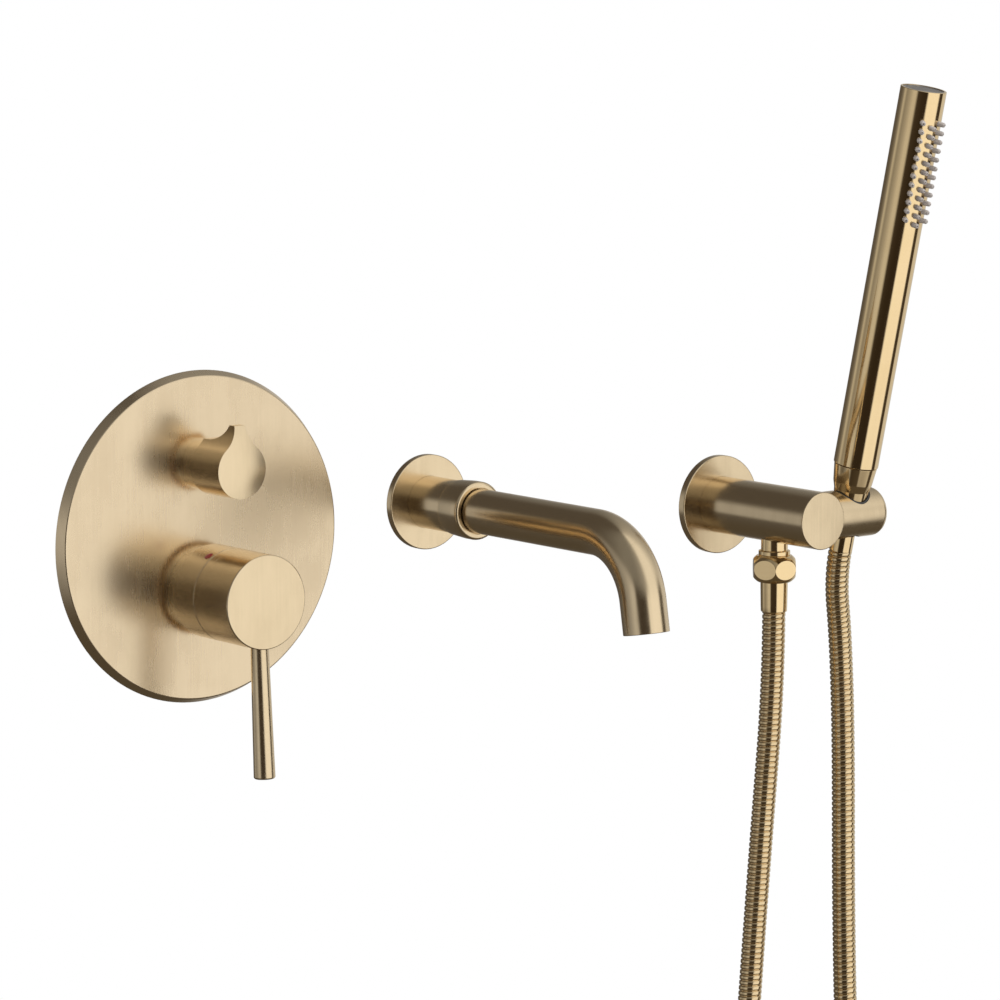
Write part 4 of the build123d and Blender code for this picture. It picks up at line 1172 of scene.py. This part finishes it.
@dataclass
class HandShower(Assembly):
    """The slim hand shower, its cone nut, its end cap and its nozzles."""

    foot_point: Point = (423.0, -82.5, -15.4)
    mouth: float = 10.9
    foot: float = 8.6
    cone_top: float = 31.0
    top: float = 264.5
    radii: tuple[float, float] = (13.7, 13.9)
    wall: float = 1.4
    first: float = 18.5
    pitch: float = 5.35
    rows: int = 12
    turn: float = 25.0
    face_turn: float = 8.0
    nozzle: float = 1.6
    reach: float = 4.6
    spindle: Spindle = field(init=False)

    def __post_init__(self) -> None:
        """Set the hand shower's own axis."""
        self.spindle = Spindle(self.foot_point, Turning.SHOWER.way)

    def build(self) -> None:
        """Make the hand shower's shown pieces."""
        slope = (self.mouth - self.foot) / 30.0
        middle = (self.mouth + self.foot) / 2 - CLEAR
        cone = turned("cone_nut_turned", [
            (6.3, -12.0), (middle - slope * 12.0, -12.0), (middle + slope * 15.5, 15.5), (11.9, 20.0),
            (13.2, self.cone_top), (9.55, self.cone_top), (9.55, 4.0), (6.3, 4.0)], self.spindle,
            {1: 0.4, 2: 0.25, 3: 0.5, 4: 0.3})
        self.dress(cone, BRIGHT_GOLD, Turning.SHOWER, "handset", "cone_nut")
        low, high = self.radii
        foot = self.cone_top + 0.5
        tube = turned("handset_tube_turned", [
            (8.2, 8.0), (9.5, 8.0), (9.5, foot - 0.4), (low, foot), (high, self.top),
            (high - self.wall, self.top),
            (low - self.wall, foot + 3), (8.2, foot + 3)], self.spindle, {3: 0.3, 4: 0.3}, 120)
        holes = joined([(self._nozzle_cutter(), place) for place in self._nozzle_places()])
        tube = drilled(tube, [to_piece("cut", holes, self.spindle.matrix(), even=False)])
        self.dress(tube, BRIGHT_GOLD, Turning.SHOWER, "handset", "handset_tube")
        cap = turned("handset_cap_turned", [
            (0, self.top - 5.3), (12.2, self.top - 5.3), (12.4, self.top - 0.3), (11.7, self.top - 0.3),
            (11.3, self.top - 0.55), (0, self.top - 0.55)], self.spindle, {2: 0.25})
        self.dress(cap, GREY_METAL, Turning.SHOWER, "handset", "handset_cap")
        nozzles = joined([(self._nozzle_shape(), place) for place in self._nozzle_places()])
        strip = to_piece("nozzle_set", nozzles, self.spindle.matrix(), even=False)
        self.dress(strip, SILICONE, Turning.SHOWER, "handset", "nozzle_strip")

    def _radius_at(self, along: float) -> float:
        """The tube's outer radius, that far along its axis."""
        share = (along - self.cone_top) / (self.top - self.cone_top)
        return self.radii[0] + (self.radii[1] - self.radii[0]) * share

    def _nozzle_places(self) -> list[Matrix]:
        """Where each nozzle leaves the tube, in the spindle's own axes (local Z outward).

        Returns:
            One matrix for each nozzle.
        """
        local = self.spindle.matrix().inverted()
        way = self.spindle.way
        forward = Vector((0, -1, 0))
        forward = (forward - way * forward.dot(way)).normalized()
        sideways = way.cross(forward) * -1
        first = self.top - self.first
        spots = [(first - row * self.pitch, side * self.turn) for row in range(self.rows) for side in (-1, 1)]
        spots += [(first - (row + 0.5) * self.pitch, 0.0) for row in range(self.rows)]
        places = []
        for along, turn in spots:
            turned_by = radians(turn + self.face_turn)
            outward = forward * cos(turned_by) + sideways * sin(turned_by)
            direction = (local.to_3x3() @ outward).normalized()
            origin = Vector((0, 0, along)) + direction * self._radius_at(along)
            places.append(Matrix.Translation(origin) @ Vector((0, 0, 1)).rotation_difference(direction)
                          .to_matrix().to_4x4())
        return places

    def _nozzle_cutter(self) -> bmesh.types.BMesh:
        """The hole for one nozzle."""
        r = self.nozzle + FIT + 0.05
        return turned_shape([(0, -3.2), (r, -3.2), (r, 3.0), (0, 3.0)], None, 24)

    def _nozzle_shape(self) -> bmesh.types.BMesh:
        """One soft nozzle with a rounded tip and its jet hole."""
        r, reach = self.nozzle, self.reach
        return turned_shape([
            (r, -2.6), (r, 0.2), (r - 0.12, reach - 1.3), (r - 0.3, reach - 0.5), (r - 0.75, reach - 0.06),
            (0.5, reach), (0.42, reach - 0.12), (0.38, reach - 1.6), (0, reach - 1.6), (0, -2.6)], None, 20)


@dataclass
class Hose(Assembly):
    """The interlocked metal hose, which hangs in one loop from the outlet to the hand shower."""

    route: Sequence[Point] = (
        (389.0, -54.5, -76.0),
        (389.0, -54.5, -122.0),
        (380.2, -55.6, -205.0),
        (370.6, -57.0, -300.0),
        (361.5, -59.0, -398.0),
        (345.0, -62.0, -475.0),
        (328.0, -66.0, -548.0),
        (353.4, -69.0, -595.6),
        (403.9, -72.0, -614.7),
        (454.4, -75.0, -595.7),
        (481.0, -78.0, -548.0),
        (461.0, -78.5, -453.0),
        (433.0, -77.5, -370.0),
        (429.5, -76.5, -265.0),
        (429.8, -74.5, -155.0),
        (428.0, -72.5, -92.0),
        (420.91, -75.08, -55.67),
        (421.83, -78.34, -37.99),
    )
    radius: float = 7.2
    pitch: float = 3.3
    sides: int = 22
    length: float = 1.2
    # (share of a turn, depth below the crown) along one turn of the strip
    strip: Sequence[tuple[float, float]] = (
        (0.0, 0.42), (0.10, 0.12), (0.28, 0.0), (0.55, 0.0), (0.72, 0.12), (0.82, 0.42), (0.88, 0.85),
        (0.95, 0.85))
    still_share: float = 0.42     # a share of the hose's length
    free_share: float = 0.93

    def build(self) -> None:
        """Make the hose and log its length and its faces."""
        line = self._line()
        starts = [0.0]
        for a, b in zip(line, line[1:]):
            starts.append(starts[-1] + (b - a).length)
        hose = self._tube(line, starts)
        hose.data.materials.append(HOSE_GOLD.material(self.groups, Turning.DOWN))
        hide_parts("shower_hose")
        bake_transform(hose)
        self._follow(hose)
        log.info("hose, %.1f mm along its line, %d faces", starts[-1] / MM, len(hose.data.polygons))

    def _line(self) -> list[Vector]:
        """The hose's smooth line, read from the spline through its route.

        Returns:
            Points in metres.
        """
        curve = bpy.data.curves.new("hose_line", "CURVE")
        curve.dimensions = "3D"
        spline = curve.splines.new("NURBS")
        spline.points.add(len(self.route) - 1)
        for point, place in zip(spline.points, self.route):
            point.co = (*(part * MM for part in place), 1.0)
        spline.order_u = 3
        spline.use_endpoint_u = True
        spline.resolution_u = 40
        holder = bpy.data.objects.new("hose_line", curve)
        bpy.context.scene.collection.objects.link(holder)
        bpy.context.view_layer.update()
        mesh = bpy.data.meshes.new_from_object(holder.evaluated_get(bpy.context.evaluated_depsgraph_get()))
        points = [v.co.copy() for v in mesh.vertices]
        bpy.data.objects.remove(holder)
        bpy.data.curves.remove(curve)
        bpy.data.meshes.remove(mesh)
        if (points[0] - Vector(self.route[0]) * MM).length > (points[-1] - Vector(self.route[0]) * MM).length:
            points.reverse()
        return points

    def _tube(self, line: list[Vector], starts: list[float]) -> bpy.types.Object:
        """Sweep the wound strip along the line.

        Args:
            line: Points of the line.
            starts: Distance along the line to each point.

        Returns:
            The tube.
        """
        total = starts[-1]
        stations = self._stations(total)
        frames = self._frames(line, starts)
        bm = bmesh.new()
        along = bm.verts.layers.float.new("along")
        rings = []
        for distance, depth in stations:
            ring = []
            for side in range(self.sides):
                turn = 2 * pi * side / self.sides
                place = min(max(distance + self.pitch * MM * side / self.sides, 0.0), total)
                centre, across, up = frames(place)
                r = (self.radius - depth) * MM
                vert = bm.verts.new(centre + (across * cos(turn) + up * sin(turn)) * r)
                vert[along] = place / total
                ring.append(vert)
            rings.append(ring)
        step = len(self.strip)
        for low, high in zip(rings, rings[1:]):
            for side in range(self.sides - 1):
                bm.faces.new((low[side], low[side + 1], high[side + 1], high[side]))
        for index in range(len(rings) - 1 - step):
            # the strip climbs one pitch in a full turn, so the last side meets the ring one pitch on
            bm.faces.new((rings[index][-1], rings[index + step][0], rings[index + step + 1][0],
                          rings[index + 1][-1]))
        mesh = bpy.data.meshes.new("shower_hose_wound")
        bmesh.ops.remove_doubles(bm, verts=bm.verts, dist=1e-6)
        bmesh.ops.dissolve_degenerate(bm, dist=1e-7, edges=bm.edges)
        self._close(bm)
        bmesh.ops.recalc_face_normals(bm, faces=bm.faces)
        bm.to_mesh(mesh)
        bm.free()
        hose = bpy.data.objects.new("shower_hose_wound", mesh)
        bpy.context.scene.collection.objects.link(hose)
        mesh.shade_smooth()
        mesh.set_sharp_from_angle(angle=radians(50))
        return hose

    @staticmethod
    def _close(bm: bmesh.types.BMesh) -> None:
        """Close both ends of the tube, which sit inside the ferrules."""
        open_edges = [e for e in bm.edges if e.is_boundary]
        bmesh.ops.holes_fill(bm, edges=open_edges, sides=0)

    def _stations(self, total: float) -> list[tuple[float, float]]:
        """Distance and depth of each ring along the whole tube."""
        pitch = self.pitch * MM
        turns = int(total / pitch) + 2
        return [((turn + share - 1) * pitch, depth) for turn in range(turns) for share, depth in self.strip]

    @staticmethod
    def _frames(line: list[Vector], starts: list[float]):
        """A function that gives the line's point and two directions across it.

        Args:
            line: Points of the line.
            starts: Distance along the line to each point.

        Returns:
            A function of the distance along the line.
        """
        ways = []
        for index in range(len(line)):
            a, b = line[max(index - 1, 0)], line[min(index + 1, len(line) - 1)]
            ways.append((b - a).normalized())
        across = [Vector((1, 0, 0))]
        across[0] = (across[0] - ways[0] * across[0].dot(ways[0])).normalized()
        for way in ways[1:]:
            kept = across[-1] - way * across[-1].dot(way)
            across.append(kept.normalized())
        cursor = [0]

        def at(distance: float) -> tuple[Vector, Vector, Vector]:
            index = cursor[0]
            while index < len(starts) - 2 and starts[index + 1] < distance:
                index += 1
            while index > 0 and starts[index] > distance:
                index -= 1
            cursor[0] = index
            share = (distance - starts[index]) / max(starts[index + 1] - starts[index], 1e-9)
            centre = line[index].lerp(line[index + 1], share)
            way = ways[index].lerp(ways[index + 1], share).normalized()
            side = across[index].lerp(across[index + 1], share)
            side = (side - way * side.dot(way)).normalized()
            return centre, side, way.cross(side)

        return at

    def _follow(self, hose: bpy.types.Object) -> None:
        """Read each vertex's distance along the hose; nothing further is done with it."""
        along = [0.0] * len(hose.data.vertices)
        hose.data.attributes["along"].data.foreach_get("value", along)


@dataclass
class RoughIn(Assembly):
    """Everything behind the wall and inside the fittings, which keeps its own shape."""

    turnings: dict[str, Turning] = field(default_factory=lambda: {
        "aerator_housing": Turning.DOWN, "outlet_nipple": Turning.DOWN, "upper_ferrule": Turning.SHOWER,
        "water_tube": Turning.SHOWER, "handset_filter": Turning.SHOWER, "tilt_pin": Turning.ACROSS})

    def build(self) -> None:
        """Give every node that still shows a finish of its own."""
        for name, node in self.frame["nodes"].items():
            if node.hide_render or not node.material_slots:
                continue
            slot = node.material_slots[0].material.name.split(".")[0]
            finish = BY_SLOT.get(slot, ZINC_STEEL)
            turning = self.turnings.get(name, Turning.OUT)
            node.material_slots[0].material = finish.material(self.groups, turning)
            log.info("%s keeps its shape, in %s", name, finish.name)


# ---- studio ------------------------------------------------------------------------------
@dataclass
class Studio:
    """The camera, the lights, the pale floor and what the metal reflects."""

    camera_place: Point = (-1.3233, -1.9375, 0.3498)
    away: Point = (-0.6165, -0.7750, 0.1392)     # from the object to the camera
    side: Point = (0.7826, -0.6225, 0.0)
    lens: float = 151.2
    floor_z: float = -0.66
    floor_radius: float = 0.95
    # azimuth in degrees from +X, and brightness
    low_ring: Sequence[tuple[float, float]] = (
        (-180, 0.42), (-168, 0.42), (-158, 0.030), (-112, 0.030), (-105, 1.00), (-45, 1.00), (-39, 0.05),
        (-21, 0.05), (-15, 0.66), (50, 0.50), (60, 0.10), (150, 0.10), (158, 0.16), (170, 0.26), (180, 0.42))
    horizon_ring: Sequence[tuple[float, float]] = (
        (-180, 0.56), (-168, 0.56), (-158, 0.05), (-112, 0.04), (-105, 1.00), (-45, 1.00), (-39, 0.06),
        (-21, 0.06), (-15, 0.66), (45, 0.60), (58, 0.11), (96, 0.11), (114, 0.20), (128, 0.50), (142, 0.26),
        (162, 0.38), (180, 0.56))
    high_ring: Sequence[tuple[float, float]] = (
        (-180, 0.22), (-140, 0.22), (-105, 0.35), (-90, 0.9), (-45, 0.9), (0, 0.45), (50, 0.22), (80, 0.09),
        (140, 0.09), (180, 0.22))
    ring_tint: Colour = (1.0, 0.985, 0.955)
    ground: Colour = (0.085, 0.070, 0.050)
    dark_tint: Colour = (1.0, 0.66, 0.36)      # the darkest flags, brown
    dark_below: float = 0.14                   # rings dimmer than this turn brown
    aim: Point = (0.2, 0.0, -0.05)
    # name, place, size in metres and power in watts
    lamps: Sequence[tuple[str, Point, float, float]] = (
        ("key", (1.7, -1.7, 1.05), 0.45, 16.0),
        ("overhead", (0.2, -0.2, 1.9), 2.4, 46.0),
        ("front_fill", (-0.6, -2.6, 0.4), 1.6, 9.0),
    )

    def build(self) -> None:
        """Make the camera, the surroundings, the lights and the floor."""
        self._camera()
        self._surroundings()
        self._lights()
        self._floor()
        bpy.context.scene.view_settings.view_transform = "Standard"

    def _camera(self) -> None:
        """A long lens from the left and a little above."""
        data = bpy.data.cameras.new("camera")
        data.lens = self.lens
        data.sensor_width = 36.0
        data.clip_end = 50.0
        camera = bpy.data.objects.new("camera", data)
        away, side = Vector(self.away).normalized(), Vector(self.side).normalized()
        up = away.cross(side)
        placed = Matrix((side, up, away)).transposed().to_4x4()
        placed.translation = Vector(self.camera_place)
        camera.matrix_world = placed
        bpy.context.scene.collection.objects.link(camera)
        bpy.context.scene.camera = camera

    def _ramp(self, g: Graph, share: object, stops: Sequence[tuple[float, float]]) -> bpy.types.NodeSocket:
        """A ring of brightness round the horizon.

        Args:
            g: The world's graph.
            share: Azimuth as 0 to 1.
            stops: Azimuth in degrees and brightness.

        Returns:
            The colour's socket.
        """
        ramp = g.add("ShaderNodeValToRGB")
        elements = ramp.color_ramp.elements
        elements.remove(elements[-1])
        for index, (azimuth, level) in enumerate(stops):
            # each stop is made where it belongs, since the ramp sorts its stops as they move
            place = (azimuth + 180) / 360
            element = elements.new(place) if index else elements[0]
            if index == 0:
                element.position = place
            dark = max(0.0, 1.0 - level / self.dark_below)
            tint = [light + (brown - light) * dark for light, brown in zip(self.ring_tint, self.dark_tint)]
            element.color = (*(level * part for part in tint), 1.0)
        g.put(ramp, "Fac", share)
        return ramp.outputs[0]

    def _surroundings(self) -> None:
        """Soft boxes and dark flags for the metal to reflect, on a white ground for the camera."""
        world = bpy.data.worlds.new("studio")
        world.use_nodes = True
        world.node_tree.nodes.clear()
        bpy.context.scene.world = world
        g = Graph(world.node_tree)
        split = g.add("ShaderNodeSeparateXYZ")
        g.put(split, 0, g.add("ShaderNodeTexCoord").outputs["Generated"])
        turn = g.math("ARCTAN2", split.outputs[1], split.outputs[0])
        azimuth = g.math("MULTIPLY_ADD", turn, 1 / (2 * pi), 0.5)
        low, middle, high = (self._ramp(g, azimuth, ring) for ring in (self.low_ring, self.horizon_ring,
                                                                       self.high_ring))
        height = split.outputs[2]
        ring = g.mixed(g.ranged(height, -0.30, -0.17), low, middle)
        ring = g.mixed(g.ranged(height, 0.12, 0.42), ring, high)
        colour = g.mixed(g.ranged(height, -0.72, -0.34), (*self.ground, 1.0), ring)
        seen = g.add("ShaderNodeBackground")
        g.put(seen, "Color", colour)
        g.put(seen, "Strength", 1.0)
        white = g.add("ShaderNodeBackground")
        g.put(white, "Color", (1.0, 1.0, 1.0, 1.0))
        choose = g.add("ShaderNodeMixShader")
        g.put(choose, 0, g.add("ShaderNodeLightPath").outputs["Is Camera Ray"])
        g.put(choose, 1, seen.outputs[0])
        g.put(choose, 2, white.outputs[0])
        out = g.add("ShaderNodeOutputWorld")
        g.put(out, "Surface", choose.outputs[0])

    def _lights(self) -> None:
        """Lamps for the floor and the plain pieces; the metal does not mirror them."""
        for name, place, size, power in self.lamps:
            data = bpy.data.lights.new(name, "AREA")
            data.size = size
            data.energy = power
            light = bpy.data.objects.new(name, data)
            light.location = place
            aim = Vector(self.aim) - Vector(place)
            light.rotation_mode = "QUATERNION"
            light.rotation_quaternion = aim.to_track_quat("-Z", "Y")
            light.visible_camera = False
            light.visible_glossy = False
            bpy.context.scene.collection.objects.link(light)

    def _floor(self) -> None:
        """A plain pale disc under the object."""
        bm = bmesh.new()
        bmesh.ops.create_circle(bm, cap_ends=True, segments=128, radius=self.floor_radius)
        thick = bmesh.ops.extrude_face_region(bm, geom=list(bm.faces))
        bmesh.ops.translate(bm, verts=[v for v in thick["geom"] if isinstance(v, bmesh.types.BMVert)],
                            vec=(0, 0, -0.01))
        bmesh.ops.recalc_face_normals(bm, faces=bm.faces)
        bmesh.ops.translate(bm, verts=bm.verts, vec=(0.2, 0.0, self.floor_z))
        mesh = bpy.data.meshes.new("floor")
        bm.to_mesh(mesh)
        bm.free()
        floor = bpy.data.objects.new("floor", mesh)
        bpy.context.scene.collection.objects.link(floor)
        material = bpy.data.materials.new("pale_floor")
        material.use_nodes = True
        g = Graph(material.node_tree)
        shader = material.node_tree.nodes["Principled BSDF"]
        coordinates = g.add("ShaderNodeTexCoord")
        tone = g.mixed(g.noise(coordinates.outputs["Object"], 9.0), (0.86, 0.855, 0.84, 1.0),
                       (0.90, 0.895, 0.885, 1.0))
        g.put(shader, "Base Color", tone)
        g.put(shader, "Roughness", 0.8)
        mesh.materials.append(material)
        floor.visible_glossy = False


def main() -> None:
    """Build the studio and every sub-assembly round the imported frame."""
    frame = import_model()
    Studio().build()
    groups = Groups()
    for kind in (Hose, PlateGroup, Mixer, Diverter, Spout, Bracket, HandShower, RoughIn):
        log.info("building %s", kind.__name__)
        kind(frame, groups).build()


if __name__ == "__main__":
    main()
